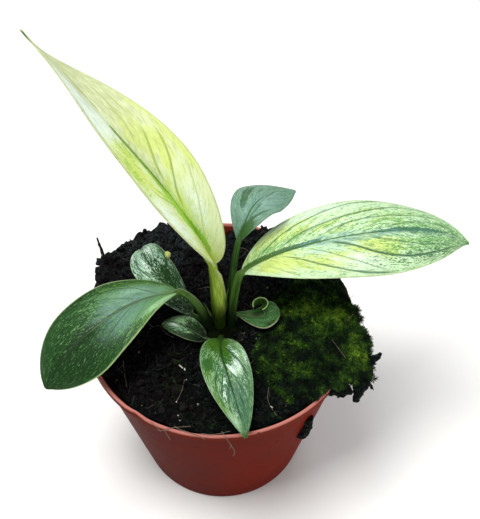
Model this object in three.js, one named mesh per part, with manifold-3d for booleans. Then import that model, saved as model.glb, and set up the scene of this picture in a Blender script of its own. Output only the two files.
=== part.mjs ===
// A small variegated peace lily, growing in peat in a thin plastic nursery pot.
// Millimetres, +Z up. The origin is the middle of the pot's flat underside, and the front is
// towards -Y. Leaves are grown from one short crown that stands in a plain hole in the soil.
import * as THREE from 'three';
import { mergeVertices } from 'three/addons/utils/BufferGeometryUtils.js';
import Module from 'manifold-3d';

const wasm = await Module();
wasm.setup();

// Driving sizes of the pot
const POT_HEIGHT = 93.5;
const RIM_RADIUS = 60;
const BASE_RADIUS = 41;
const POT_WALL = 1.4;
const LIP_DEPTH = 4;
const LIP_STEP = 1.8;
const POT_SIDES = 64;
const DRAIN_HOLES = 6;
const DRAIN_RADIUS = 3.5;
const DRAIN_CIRCLE = 28;

// The gap that every piece keeps to its neighbour
const GAP = 0.3;

// Driving sizes of the plant
const BLADE_THICKNESS = 0.8;
const BLADE_END_WIDTH = 0.45;
const RIB_REACH = 0.82;
const RIB_TIP_RADIUS = 0.45;
const STEM_SIDES = 7;
const CROWN_AT = new THREE.Vector2(0.8, -9.2);
const CROWN_RADIUS = 8;
const CROWN_FOOT = 80;
const CROWN_TOP = 99.5;

// Driving sizes of the peat and the moss
const SOIL_AT_CROWN = 97.5;
const SOIL_SIDES = 54;
const SOIL_RINGS = 6;
const SOIL_LUMP = 1.1;
const MOSS_AT = new THREE.Vector2(42, -14);
const MOSS_SIDES = 40;
const MOSS_RINGS = 5;
const MOSS_DEPTH = 4.2;
const MOSS_UNDERSIDE = 83;

const UP = new THREE.Vector3(0, 0, 1);
const DEGREE = Math.PI / 180;

const smooth = (from, to, value) => THREE.MathUtils.smoothstep(value, from, to);
const mix = THREE.MathUtils.lerp;

// A closed surface becomes a solid that can be joined to others or cut by them.
function solid(geometry) {
  const plain = geometry.clone();
  plain.deleteAttribute('normal');
  plain.deleteAttribute('uv');
  const merged = mergeVertices(plain, 1e-4);
  return new wasm.Manifold(new wasm.Mesh({
    numProp: 3,
    vertProperties: new Float32Array(merged.attributes.position.array),
    triVerts: new Uint32Array(merged.index.array),
  }));
}

function surface(body) {
  const { numProp, vertProperties, triVerts } = body.getMesh();
  const geometry = new THREE.BufferGeometry();
  const positions = new Float32Array(vertProperties.length / numProp * 3);
  for (let i = 0; i * numProp < vertProperties.length; i += 1) {
    positions.set(vertProperties.slice(i * numProp, i * numProp + 3), i * 3);
  }
  geometry.setAttribute('position', new THREE.BufferAttribute(positions, 3));
  geometry.setIndex(new THREE.BufferAttribute(new Uint32Array(triVerts), 1));
  geometry.computeVertexNormals();
  return geometry;
}

function closedSurface(points, faces) {
  const geometry = new THREE.BufferGeometry();
  geometry.setFromPoints(points);
  geometry.setIndex(faces);
  return geometry;
}

// A skin between two grids of points, rows by columns, which closes it at all four borders.
// Both grids are split along the same diagonal, so that a thin waved sheet never cuts itself.
function sheet(upper, lower) {
  const rows = upper.length;
  const columns = upper[0].length;
  const points = [...upper.flat(), ...lower.flat()];
  const top = (i, j) => i * columns + j;
  const under = (i, j) => rows * columns + top(i, j);
  const faces = [];
  const quad = (a, b, c, d) => faces.push(a, b, c, a, c, d);
  const [lastRow, lastColumn] = [rows - 1, columns - 1];
  for (let i = 0; i < lastRow; i += 1) {
    for (let j = 0; j < lastColumn; j += 1) {
      faces.push(top(i, j), top(i + 1, j + 1), top(i + 1, j));
      faces.push(top(i, j), top(i, j + 1), top(i + 1, j + 1));
      quad(under(i, j), under(i + 1, j), under(i + 1, j + 1), under(i, j + 1));
    }
    quad(top(i, 0), top(i + 1, 0), under(i + 1, 0), under(i, 0));
    quad(top(i, lastColumn), under(i, lastColumn), under(i + 1, lastColumn), top(i + 1, lastColumn));
  }
  for (let j = 0; j < lastColumn; j += 1) {
    quad(top(0, j), under(0, j), under(0, j + 1), top(0, j + 1));
    quad(top(lastRow, j), top(lastRow, j + 1), under(lastRow, j + 1), under(lastRow, j));
  }
  return closedSurface(points, faces);
}

// A round body about an upright axis whose outline may differ at every angle. Each outline
// runs from the axis below, out and up, and back to the axis above.
function roundBody(outlineAt, sides, centre) {
  const outlines = [];
  for (let i = 0; i < sides; i += 1) {
    outlines.push(outlineAt(i / sides * 2 * Math.PI));
  }
  const inner = outlines[0].length - 2;
  const points = [
    new THREE.Vector3(centre.x, centre.y, outlines[0][0][1]),
    new THREE.Vector3(centre.x, centre.y, outlines[0][inner + 1][1]),
  ];
  outlines.forEach((outline, i) => {
    const angle = i / sides * 2 * Math.PI;
    for (const [radius, height] of outline.slice(1, -1)) {
      const x = centre.x + radius * Math.cos(angle);
      const y = centre.y + radius * Math.sin(angle);
      points.push(new THREE.Vector3(x, y, height));
    }
  });
  const at = (i, k) => 2 + i % sides * inner + k;
  const faces = [];
  for (let i = 0; i < sides; i += 1) {
    faces.push(0, at(i + 1, 0), at(i, 0));
    for (let k = 0; k < inner - 1; k += 1) {
      faces.push(at(i, k), at(i + 1, k), at(i + 1, k + 1));
      faces.push(at(i, k), at(i + 1, k + 1), at(i, k + 1));
    }
    faces.push(1, at(i, inner - 1), at(i + 1, inner - 1));
  }
  return closedSurface(points, faces);
}

// A round stalk through a row of points, with a radius at each of them.
function stalk(path, radii, sides) {
  const rings = [];
  let side = new THREE.Vector3(0, 1, 0);
  path.forEach((point, i) => {
    const before = path[Math.max(i - 1, 0)];
    const after = path[Math.min(i + 1, path.length - 1)];
    const along = after.clone().sub(before).normalize();
    side = side.clone().addScaledVector(along, -side.dot(along)).normalize();
    const other = along.clone().cross(side);
    const ring = [];
    for (let k = 0; k < sides; k += 1) {
      const angle = k / sides * 2 * Math.PI;
      ring.push(point.clone()
        .addScaledVector(side, Math.cos(angle) * radii[i])
        .addScaledVector(other, Math.sin(angle) * radii[i]));
    }
    rings.push(ring);
  });
  const points = [...rings.flat(), path[0].clone(), path[path.length - 1].clone()];
  const foot = points.length - 2;
  const tip = points.length - 1;
  const at = (i, k) => i * sides + k % sides;
  const faces = [];
  for (let k = 0; k < sides; k += 1) {
    faces.push(foot, at(0, k + 1), at(0, k));
    faces.push(tip, at(path.length - 1, k), at(path.length - 1, k + 1));
    for (let i = 0; i < path.length - 1; i += 1) {
      faces.push(at(i, k), at(i, k + 1), at(i + 1, k + 1));
      faces.push(at(i, k), at(i + 1, k + 1), at(i + 1, k));
    }
  }
  return closedSurface(points, faces);
}

// The pot: a tapered thin wall, a stepped lip round its mouth and drain holes in its floor.
const WALL_SLOPE = (RIM_RADIUS - LIP_STEP - BASE_RADIUS) / (POT_HEIGHT - LIP_DEPTH);
const outsideRadius = (z) => BASE_RADIUS + z * WALL_SLOPE;
const insideRadius = (z) => outsideRadius(z) - POT_WALL;

function pot() {
  const lipFoot = POT_HEIGHT - LIP_DEPTH;
  const bevel = 0.7;
  const outline = [
    [0, 0],
    [BASE_RADIUS - bevel, 0],
    [outsideRadius(bevel), bevel],
    [outsideRadius(lipFoot), lipFoot],
    [RIM_RADIUS, lipFoot + bevel],
    [RIM_RADIUS, POT_HEIGHT - bevel],
    [RIM_RADIUS - bevel, POT_HEIGHT],
    [RIM_RADIUS - POT_WALL, POT_HEIGHT],
    [insideRadius(lipFoot), lipFoot - bevel],
    [insideRadius(POT_WALL), POT_WALL],
    [0, POT_WALL],
  ].map(([radius, height]) => new THREE.Vector2(radius, height));
  const shell = new THREE.LatheGeometry(outline, POT_SIDES);
  shell.rotateX(Math.PI / 2);
  let body = solid(shell);
  for (let i = 0; i < DRAIN_HOLES; i += 1) {
    const angle = i / DRAIN_HOLES * 2 * Math.PI;
    const drill = new THREE.CylinderGeometry(DRAIN_RADIUS, DRAIN_RADIUS, POT_WALL * 3, 16);
    drill.rotateX(Math.PI / 2);
    drill.translate(DRAIN_CIRCLE * Math.cos(angle), DRAIN_CIRCLE * Math.sin(angle), 0);
    body = body.subtract(solid(drill));
  }
  return body;
}

// What the pot and its inside fill, grown by the gap. It cuts what lies over the lip.
function potBlock() {
  const lipFoot = POT_HEIGHT - LIP_DEPTH;
  const outline = [
    [0, -1],
    [outsideRadius(0) + GAP, -1],
    [outsideRadius(lipFoot) + GAP, lipFoot - GAP],
    [RIM_RADIUS + GAP, lipFoot - GAP],
    [RIM_RADIUS + GAP, POT_HEIGHT + GAP],
    [0, POT_HEIGHT + GAP],
  ].map(([radius, height]) => new THREE.Vector2(radius, height));
  const block = new THREE.LatheGeometry(outline, POT_SIDES);
  block.rotateX(Math.PI / 2);
  return solid(block);
}

// The soil's edge, by the angle round the pot from +X: its height, and how far out it reaches.
// It stands above the lip at the back left and the right, and lies just below it in front.
const SOIL_EDGE = [
  [0, 97, 62], [30, 97, 60], [58, 99.5, 59.5], [78, 93, 57.5], [93, 88.5, 57],
  [104, 95, 58.5], [117, 99.5, 59.5], [133, 100.5, 60.5], [150, 100, 62], [164, 97, 60],
  [182, 93, 57.5], [205, 91.5, 57], [270, 92.2, 57], [305, 92.5, 57], [322, 95, 60],
  [342, 97, 62], [360, 97, 60],
];

function soilEdge(angle) {
  const degrees = (angle / DEGREE + 360) % 360;
  const next = Math.max(1, SOIL_EDGE.findIndex(([at]) => at > degrees));
  const [from, height0, reach0] = SOIL_EDGE[next - 1];
  const [to, height1, reach1] = SOIL_EDGE[next];
  const share = smooth(from, to, degrees);
  return { height: mix(height0, height1, share), reach: mix(reach0, reach1, share) };
}

// Crumbly ups and downs of the peat, from a few waves that never line up.
function lump(x, y) {
  const wide = Math.sin(x * 0.31 + 1.3) * Math.cos(y * 0.27 - 0.4);
  const fine = Math.sin(x * 0.83 - y * 0.61) * Math.cos(x * 0.47 + y * 0.92 + 2.1);
  return SOIL_LUMP * (0.6 * wide + 0.7 * fine);
}

function soilHeight(x, y) {
  const radius = Math.hypot(x, y);
  const edge = soilEdge(Math.atan2(y, x));
  const share = Math.min(radius / edge.reach, 1.15);
  return mix(SOIL_AT_CROWN, edge.height, share ** 2.4) + lump(x, y) * smooth(4, 16, radius);
}

// The whole of the peat, or the same grown by a margin so as to cut what lies on it.
function soilBody(margin) {
  const floor = POT_WALL + GAP - margin;
  const outlineAt = (angle) => {
    const edge = soilEdge(angle);
    const heightAt = (radius) => soilHeight(radius * Math.cos(angle), radius * Math.sin(angle));
    const outline = [[0, floor], [insideRadius(floor) - GAP, floor]];
    const reach = edge.reach + margin;
    const brow = heightAt(edge.reach) + margin;
    outline.push([Math.min(reach, insideRadius(70) - GAP), 70]);
    outline.push([reach, Math.min(brow - 1, POT_HEIGHT + GAP)]);
    outline.push([reach, brow - 0.5]);
    for (let ring = SOIL_RINGS - 0.3; ring > 0.5; ring -= 1) {
      const radius = edge.reach * ring / SOIL_RINGS;
      outline.push([radius, heightAt(radius) + margin]);
    }
    outline.push([0, SOIL_AT_CROWN + margin]);
    return outline;
  };
  return solid(roundBody(outlineAt, SOIL_SIDES, new THREE.Vector2(0, 0)));
}

// The lip and wall of the pot as seen from the soil: a ring that it must not enter.
function lipRing() {
  const far = 90;
  const outline = [
    [insideRadius(POT_WALL) - GAP, POT_WALL - 5],
    [far, POT_WALL - 5],
    [far, POT_HEIGHT + GAP],
    [RIM_RADIUS - POT_WALL - GAP, POT_HEIGHT + GAP],
    [insideRadius(POT_HEIGHT - LIP_DEPTH) - GAP, POT_HEIGHT - LIP_DEPTH - 0.7],
    [insideRadius(POT_WALL) - GAP, POT_WALL],
    [insideRadius(POT_WALL) - GAP, POT_WALL - 5],
  ].map(([radius, height]) => new THREE.Vector2(radius, height));
  const ring = new THREE.LatheGeometry(outline, POT_SIDES);
  ring.rotateX(Math.PI / 2);
  return solid(ring);
}

// A tapered splinter between two points, for the twig and the peat that hangs over the lip.
function splinter(from, to, radiusFrom, radiusTo) {
  const path = [0, 0.35, 0.7, 1].map((share) => (
    new THREE.Vector3().lerpVectors(new THREE.Vector3(...from), new THREE.Vector3(...to), share)
  ));
  const middle = Math.max(radiusFrom, radiusTo);
  const radii = [radiusFrom, middle, mix(radiusFrom, radiusTo, 0.7), radiusTo];
  return solid(stalk(path, radii, 6));
}

const largest = (body) => body.decompose().sort((a, b) => b.volume() - a.volume())[0];

// The peat with its twig, and with one plain hole for the crown and the leaf stems
function soil() {
  const twig = splinter([-54, 29, 98], [-57, 31, 115], 1.6, 0.5);
  let body = soilBody(0).subtract(lipRing()).add(twig).subtract(crownBody(GAP));
  for (const leaf of Object.values(LEAVES)) {
    body = body.subtract(stemHole(leaf));
  }
  return largest(body);
}

// The moss: a cushion on the soil's right, which bulges over the lip and hangs outside it,
// with tongues of peat and roots below. Its outline is a distance from MOSS_AT by angle.
const MOSS_EDGE = [
  [0, 24.5], [20, 21], [45, 24], [70, 31], [90, 32], [120, 28], [150, 24], [180, 23],
  [210, 29], [240, 31], [262, 28], [285, 24.5], [310, 25], [335, 27], [360, 24.5],
];
const PEAT_TONGUES = [
  { from: [57.5, -31, 90], to: [58.5, -34.5, 75], foot: 3.2, tip: 0.8 },
  { from: [63, -14.5, 93], to: [71, -18, 89.5], foot: 2.8, tip: 0.7 },
  { from: [61, -22.5, 91], to: [67, -30, 85], foot: 2.8, tip: 0.7 },
];

// A damp clod of peat that stuck to the outside of the pot's wall
const CLOD = { angle: -42.5, from: 76, to: 55, top: 1.3, foot: 3.8 };


function mossReach(angle) {
  const degrees = (angle / DEGREE + 360) % 360;
  const next = Math.max(1, MOSS_EDGE.findIndex(([at]) => at > degrees));
  const [from, reach0] = MOSS_EDGE[next - 1];
  const [to, reach1] = MOSS_EDGE[next];
  return mix(reach0, reach1, smooth(from, to, degrees));
}

function mossCushion() {
  const outlineAt = (angle) => {
    const reach = mossReach(angle);
    const topAt = (radius) => {
      const x = MOSS_AT.x + radius * Math.cos(angle);
      const y = MOSS_AT.y + radius * Math.sin(angle);
      const fromAxis = Math.hypot(x, y);
      const onSoil = Math.min(fromAxis, RIM_RADIUS);
      const ground = soilHeight(x * onSoil / fromAxis, y * onSoil / fromAxis);
      const share = radius / reach;
      const droop = 0.09 * Math.max(0, fromAxis - RIM_RADIUS) ** 2;
      const crumbs = 0.6 * Math.sin(x * 0.9) * Math.cos(y * 0.8 + 1);
      return ground + MOSS_DEPTH * Math.sqrt(1 - share * share * 0.96) - droop + crumbs;
    };
    const outline = [[0, MOSS_UNDERSIDE], [reach * 0.6, MOSS_UNDERSIDE]];
    outline.push([reach - 1.5, MOSS_UNDERSIDE + 1]);
    outline.push([reach, Math.min(MOSS_UNDERSIDE + 4, topAt(reach) - 1)]);
    for (let ring = MOSS_RINGS; ring > 0.5; ring -= 1) {
      const radius = reach * ring / MOSS_RINGS;
      outline.push([radius, topAt(radius)]);
    }
    outline.push([0, topAt(0)]);
    return outline;
  };
  let body = solid(roundBody(outlineAt, MOSS_SIDES, MOSS_AT));
  for (const { from, to, foot, tip } of PEAT_TONGUES) {
    body = body.add(splinter(from, to, foot, tip));
  }
  return largest(body.subtract(potBlock()).subtract(soilBody(GAP + 0.15)));
}

function peatClod() {
  const place = (height) => {
    const angle = CLOD.angle * DEGREE;
    const radius = outsideRadius(height) + 0.5;
    return [radius * Math.cos(angle), radius * Math.sin(angle), height];
  };
  const clod = splinter(place(CLOD.to), place(CLOD.from), CLOD.foot, CLOD.top);
  return largest(clod.subtract(potBlock()));
}

// Leaves. A blade is an arched sheet about a curved midrib. At every place along it, each half
// leaves the midrib at the fold angle and bends on by the curl over its own width, in degrees.
// w is the greatest half width left and right of the midrib, seen from the foot; widest says
// how far along that is, and taper how pointed the ends are. roll turns the blade about the
// midrib. Pairs in roll, fold and curl are for the foot and the tip, or left and right.
const LEAVES = {
  leaf_tall_pale: {
    colour: 0xdfe8a8,
    stem: [[0, -8.5, 86], [0.7, -8.6, 104], [-0.6, -7, 120]],
    stemRadius: [2.2, 3, 1.7],
    blade: [[-2.2, -4.6, 135], [-11.6, -7.3, 178], [-41.5, 10.8, 198], [-60, 2.5, 239]],
    roll: [-48, 18], w: [16.2, 15.8], widest: 0.38, taper: 1.7, fold: [76, 0], curl: [-11, -9],
    rows: 16, columns: 3,
  },
  leaf_right_striped: {
    colour: 0xb9cf9a,
    stem: [[4.8, -9.5, 86], [5.1, -8.9, 104], [5.8, -6.5, 118]],
    stemRadius: [1.7, 1.8, 1.6],
    blade: [[9, -3.7, 128], [29, 6, 141], [90, 19.2, 140], [107, 13.5, 128.4]],
    roll: [3, 4], w: [20.8, 21.2], widest: 0.51, taper: 2, fold: [18, -3], curl: [-28, -30],
    rows: 16, columns: 3,
  },
  leaf_back_grey: {
    colour: 0x6f9683,
    stem: [[3, -4.2, 86], [3.8, -3, 104], [5.5, 2.3, 122]],
    stemRadius: [1.5, 1.6, 1.2],
    blade: [[8.2, 4.8, 138], [13.3, 14.6, 151], [15.2, 25, 148], [33, 34, 140]],
    roll: [1.6, 0], w: [10.7, 10.5], widest: 0.58, taper: 1.57, fold: [36, -11], curl: [-21, -25],
    rows: 11, columns: 3,
  },
  leaf_left_dark: {
    colour: 0x2f5a35,
    stem: [[-5, -10.2, 86], [-3.2, -11, 106], [-9, -8.6, 118]],
    stemRadius: [1.9, 2, 1.6],
    blade: [[-16, -8, 122], [-37, -9.3, 122], [-59, -26.3, 116.4], [-71.3, -39.6, 98]],
    roll: [9, -5], w: [18.6, 18.6], widest: 0.59, taper: 1.65, fold: [21, 2], curl: [-26, -22],
    rows: 13, columns: 3,
  },
  leaf_notched: {
    colour: 0x4b7a55,
    stem: [[-3.2, -4.8, 86], [-4.2, -5.2, 98], [-7, -6.8, 100.5]],
    stemRadius: [1.4, 1.5, 1.1],
    blade: [[-10.6, -6, 102.6], [-19.3, -1, 115], [-32.7, 10.9, 123.8], [-32.8, 10.9, 127.2]],
    roll: [10, -12], w: [9.3, 10.1], widest: 0.6, taper: 1.28, fold: [-1, -9], curl: [-31, -24],
    rows: 10, columns: 3,
  },
  leaf_small_left: {
    colour: 0x4f7f52,
    stem: [[-3.2, -14.2, 86], [-3.2, -15, 97], [-4, -16, 99]],
    stemRadius: [1.2, 1.2, 0.9],
    blade: [[-5.3, -16.3, 100], [-12, -15, 105.6], [-18, -11.4, 107.3], [-25, -9.2, 101.8]],
    roll: [0, 2], w: [5.5, 5.8], widest: 0.47, taper: 1.14, fold: [15, 1], curl: [-29, -20],
    rows: 9, columns: 2,
  },
  leaf_front: {
    colour: 0x3f7443,
    stem: [[0.8, -13.6, 86], [0.9, -14.5, 98], [0.8, -16.5, 102]],
    stemRadius: [1.6, 1.6, 1.2],
    blade: [[0.9, -19, 103.8], [0.3, -37, 112.8], [8.5, -50.5, 110.8], [11.2, -62.1, 96.6]],
    roll: [0, -4], w: [10.1, 9.9], widest: 0.36, taper: 1.3, fold: [22, 1], curl: [-21, -17],
    rows: 11, columns: 3,
  },
  leaf_curled: {
    colour: 0x4a7a4a,
    stem: [[6.5, -5.5, 86], [6.8, -5, 96], [6.5, -4.3, 100.5]],
    stemRadius: [1.1, 1.1, 0.9],
    blade: [[6.2, -3.6, 102.5], [20, -7.4, 101.6], [18, -6.5, 103.7], [26, -5.5, 105.5]],
    roll: [-8, -2], w: [7.9, 7.2], widest: 0.67, taper: 1.3, fold: [-1, 13], curl: [-21, -12],
    rows: 10, columns: 3,
  },
};

const curveOf = (points) => (
  new THREE.CubicBezierCurve3(...points.map((point) => new THREE.Vector3(...point)))
);

// The half width at a share of the blade's length, from 0 at the foot to 1 at the tip
function halfWidth(leaf, greatest, share) {
  const rise = (share / leaf.widest) ** (leaf.taper * leaf.widest);
  const fall = ((1 - share) / (1 - leaf.widest)) ** (leaf.taper * (1 - leaf.widest));
  return Math.max(greatest * rise * fall, BLADE_END_WIDTH);
}

// The midrib's place, its normal (the leaf's upper side) and the way to its right
function ribFrame(leaf, curve, share) {
  const along = curve.getTangent(share);
  const normal = UP.clone().addScaledVector(along, -UP.dot(along)).normalize();
  normal.applyAxisAngle(along, mix(leaf.roll[0], leaf.roll[1], share) * DEGREE);
  return { at: curve.getPoint(share), normal, right: along.clone().cross(normal) };
}

// A point of the blade's upper face and the way out of that face. across runs from -1 at the
// left edge to 1 at the right edge.
function bladePoint(leaf, frame, share, across) {
  const half = across < 0 ? 0 : 1;
  const side = across < 0 ? -1 : 1;
  const width = halfWidth(leaf, leaf.w[half], share);
  const fold = mix(leaf.fold[0], leaf.fold[1], share) * DEGREE;
  const curl = leaf.curl[half] * DEGREE;
  const angle = fold + curl * Math.abs(across);
  const out = width * (Math.sin(angle) - Math.sin(fold)) / curl;
  const rise = width * (Math.cos(fold) - Math.cos(angle)) / curl;
  const point = frame.at.clone()
    .addScaledVector(frame.right, side * out)
    .addScaledVector(frame.normal, rise);
  const lean = across === 0 ? 0 : -side * Math.sin(angle);
  const outward = frame.right.clone().multiplyScalar(lean)
    .addScaledVector(frame.normal, Math.cos(across === 0 ? 0 : angle));
  return { point, outward };
}

function blade(leaf, curve) {
  const upper = [];
  const lower = [];
  for (let i = 0; i <= leaf.rows; i += 1) {
    const share = i / leaf.rows;
    const frame = ribFrame(leaf, curve, share);
    const topRow = [];
    const underRow = [];
    for (let j = -leaf.columns; j <= leaf.columns; j += 1) {
      const { point, outward } = bladePoint(leaf, frame, share, j / leaf.columns);
      topRow.push(point);
      underRow.push(point.clone().addScaledVector(outward, -BLADE_THICKNESS));
    }
    upper.push(topRow);
    lower.push(underRow);
  }
  return solid(sheet(upper, lower));
}

// The leaf's stem, from its foot in the crown to the blade, grown by a margin
function stemPath(leaf, margin) {
  const steps = 6;
  const stem = curveOf([...leaf.stem, leaf.blade[0]]);
  const path = [];
  const radii = [];
  for (let i = 0; i < steps; i += 1) {
    const share = i / steps;
    const [foot, middle, neck] = leaf.stemRadius;
    const radius = share < 0.5 ? mix(foot, middle, share * 2) : mix(middle, neck, share * 2 - 1);
    path.push(stem.getPoint(share));
    radii.push(radius + margin);
  }
  path[0].addScaledVector(stem.getTangent(0), -margin);
  return { path, radii };
}

// The stem runs on under the blade as its midrib.
function stemAndRib(leaf, curve) {
  const steps = 6;
  const { path, radii } = stemPath(leaf, 0);
  for (let i = 0; i <= steps; i += 1) {
    const share = RIB_REACH * i / steps;
    const radius = mix(leaf.stemRadius[2], RIB_TIP_RADIUS, share / RIB_REACH);
    const { at, normal } = ribFrame(leaf, curve, share);
    path.push(at.addScaledVector(normal, -radius * 0.9 - 0.15));
    radii.push(radius);
  }
  return solid(stalk(path, radii, STEM_SIDES));
}

// The plain hole that a leaf's stem stands in
function stemHole(leaf) {
  const { path, radii } = stemPath(leaf, GAP);
  return solid(stalk(path, radii, STEM_SIDES));
}

// The margin of the curled leaf stands up behind it in a half ring.
function standingCurl() {
  const [radiusX, radiusY, wall] = [3.1, 2.5, 0.8];
  const [from, to] = [-75 * DEGREE, 205 * DEGREE];
  const outline = new THREE.Shape();
  outline.absellipse(0, 0, radiusX, radiusY, from, to, false, 0);
  outline.absellipse(0, 0, radiusX - wall, radiusY - wall, to, from, true, 0);
  const height = 4.6;
  const curl = new THREE.ExtrudeGeometry(outline, {
    depth: height, bevelEnabled: false, curveSegments: 14,
  });
  curl.translate(17.9, -1, 101.6);
  return solid(curl);
}

function leafSolid(name) {
  const leaf = LEAVES[name];
  const curve = curveOf(leaf.blade);
  let body = blade(leaf, curve).add(stemAndRib(leaf, curve));
  if (name === 'leaf_curled') {
    body = body.add(standingCurl());
  }
  return body;
}

// The crown: the short stem that all leaves grow from, with a socket for each leaf's foot
function crownBody(margin) {
  const outline = [
    [0, CROWN_FOOT - margin],
    [CROWN_RADIUS * 0.8 + margin, CROWN_FOOT - margin],
    [CROWN_RADIUS + margin, CROWN_FOOT + 6],
    [CROWN_RADIUS + margin, CROWN_TOP - 5],
    [CROWN_RADIUS * 0.94 + margin, CROWN_TOP - 1.5],
    [CROWN_RADIUS * 0.75 + margin, CROWN_TOP + margin],
    [0, CROWN_TOP + margin],
  ].map(([radius, height]) => new THREE.Vector2(radius, height));
  const body = new THREE.LatheGeometry(outline, 28);
  body.rotateX(Math.PI / 2);
  body.translate(CROWN_AT.x, CROWN_AT.y, 0);
  return solid(body);
}

function crown() {
  let body = crownBody(0);
  for (const leaf of Object.values(LEAVES)) {
    body = body.subtract(stemHole(leaf));
  }
  return largest(body);
}

function piece(name, body, color, roughness) {
  const material = new THREE.MeshStandardMaterial({ color, roughness, metalness: 0 });
  const mesh = new THREE.Mesh(surface(body), material);
  mesh.name = name;
  return mesh;
}

const plant = new THREE.Group();
plant.add(piece('pot', pot(), 0x9a4630, 0.45));
plant.add(piece('soil', soil(), 0x15110f, 0.95));
plant.add(piece('moss_cushion', mossCushion(), 0x2c4a16, 0.95));
plant.add(piece('peat_clod', peatClod(), 0x1a1512, 0.95));
plant.add(piece('crown', crown(), 0x3b5a2a, 0.5));
for (const name of Object.keys(LEAVES)) {
  plant.add(piece(name, leafSolid(name), LEAVES[name].colour, 0.4));
}

export default plant;
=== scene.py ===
# %% [markdown]
# # A potted variegated peace lily
#
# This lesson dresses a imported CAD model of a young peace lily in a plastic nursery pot. The CAD
# model fixes every size and place; Blender adds what makes it look alive: fine leaf surfaces with
# veins and streaks, crumbly peat, fuzzy moss and a pot that has been used. All places are written
# in millimetres, as on a drawing, and become metres in one spot only.

# %% Load the frame
import math

import bpy
import numpy as np
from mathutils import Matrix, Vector


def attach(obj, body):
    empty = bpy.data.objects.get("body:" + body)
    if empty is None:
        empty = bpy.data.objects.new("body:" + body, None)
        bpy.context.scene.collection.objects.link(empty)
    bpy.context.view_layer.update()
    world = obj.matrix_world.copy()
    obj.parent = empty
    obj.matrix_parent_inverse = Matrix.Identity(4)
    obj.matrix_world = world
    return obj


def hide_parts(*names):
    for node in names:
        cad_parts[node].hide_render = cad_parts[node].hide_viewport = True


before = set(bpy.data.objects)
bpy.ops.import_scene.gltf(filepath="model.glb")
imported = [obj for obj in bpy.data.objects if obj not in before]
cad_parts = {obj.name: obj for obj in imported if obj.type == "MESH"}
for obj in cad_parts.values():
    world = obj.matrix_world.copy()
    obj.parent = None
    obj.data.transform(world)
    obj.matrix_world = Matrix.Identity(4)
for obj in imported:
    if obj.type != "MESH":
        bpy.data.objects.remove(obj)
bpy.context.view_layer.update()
MM = 0.001
print("CAD nodes:", sorted(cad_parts))

# %% [markdown]
# ## The camera
#
# The camera looks down at the plant at about 42 degrees, from the place that was fitted to the
# pot's lip and base. It comes first, because everything else is judged through it.

# %% Camera
camera = bpy.data.objects.new("photo_camera", bpy.data.cameras.new("photo_camera"))
bpy.context.scene.collection.objects.link(camera)
camera.location = (0.009, -0.220, 0.379)
camera.rotation_euler = (math.radians(41.8), 0, 0)
camera.data.sensor_width = 36
camera.data.lens = 55.5
bpy.context.scene.camera = camera
print("camera lens:", camera.data.lens, "mm")

# %% [markdown]
# ## Floor and light
#
# A plain pale floor and soft studio light: one broad lamp high above, to the left and in front,
# gives the leaves their sheen, and weaker ones fill the shade. Broad lamps keep every shadow soft.
# The Standard view transform shows a colour as it is given, without a film-like curve.

# %% Floor
bpy.ops.mesh.primitive_plane_add(size=6, location=(0, 0, -0.0004))
floor = bpy.context.object
floor.name = "floor"


# %% Lamps
def soft_lamp(name, place, aim, size, watts, tint):
    """A square area lamp at a place, turned towards a point."""
    lamp = bpy.data.objects.new(name, bpy.data.lights.new(name, "AREA"))
    bpy.context.scene.collection.objects.link(lamp)
    lamp.data.size = size
    lamp.data.energy = watts
    lamp.data.color = tint
    lamp.location = place
    lamp.rotation_euler = (Vector(aim) - Vector(place)).to_track_quat("-Z", "Y").to_euler()


PLANT_MIDDLE = (0.01, 0, 0.11)
soft_lamp("key_lamp", (-0.25, -0.12, 1.1), PLANT_MIDDLE, 0.5, 11.5, (1.0, 0.99, 0.96))
soft_lamp("right_lamp", (0.9, -0.6, 0.5), PLANT_MIDDLE, 0.6, 3.4, (1.0, 0.98, 0.97))
soft_lamp("back_lamp", (0.2, 1.0, 0.8), PLANT_MIDDLE, 0.8, 3.0, (0.95, 0.98, 1.0))

world = bpy.data.worlds.new("studio")
bpy.context.scene.world = world
world.use_nodes = True
world.node_tree.nodes["Background"].inputs["Color"].default_value = (1, 1, 1, 1)
world.node_tree.nodes["Background"].inputs["Strength"].default_value = 0.30
bpy.context.scene.view_settings.view_transform = "Standard"

# %% [markdown]
# ## Shader maths as plain expressions
#
# A material is a net of nodes, but most of it is arithmetic. The class below wraps one output of a
# node, so that `1 - mask * 2` adds the Math nodes for it. Colours go through Mix nodes, because a
# Math node would turn them grey. Every other node comes from one method, `node`.


# %% A wrapped value and the material it belongs to
class Value:
    """A number or colour that changes over a surface: one output socket of a material."""

    def __init__(self, paint, socket):
        self.paint = paint
        self.socket = socket

    def math(self, operation, *others):
        sockets = {k: other for k, other in enumerate(others, start=1)}
        return self.paint.node("ShaderNodeMath", {"operation": operation}, {0: self, **sockets})

    def __add__(self, other):
        return self.math("ADD", other)

    def __mul__(self, other):
        return self.math("MULTIPLY", other)

    def __sub__(self, other):
        return self.math("SUBTRACT", other)

    def __rsub__(self, other):
        return (self * -1) + other

    def __truediv__(self, other):
        return self.math("DIVIDE", other)

    def __pow__(self, other):
        return self.math("POWER", other)

    def __abs__(self):
        return self.math("ABSOLUTE", 0)

    __radd__ = __add__
    __rmul__ = __mul__

    def most(self, other):
        return self.math("MAXIMUM", other)

    def least(self, other):
        return self.math("MINIMUM", other)

    def step(self, low, high):
        """0 below low, 1 above high and a soft step between; the other way if low is above high."""
        ends = {1: low, 2: high} if low < high else {1: high, 2: low, 3: 1, 4: 0}
        settings = {"interpolation_type": "SMOOTHSTEP"}
        return self.paint.node("ShaderNodeMapRange", settings, {0: self, **ends})

    def near(self, place, width):
        """1 at a place, and down to 0 a width away from it."""
        return abs(self - place).step(width, 0)


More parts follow.
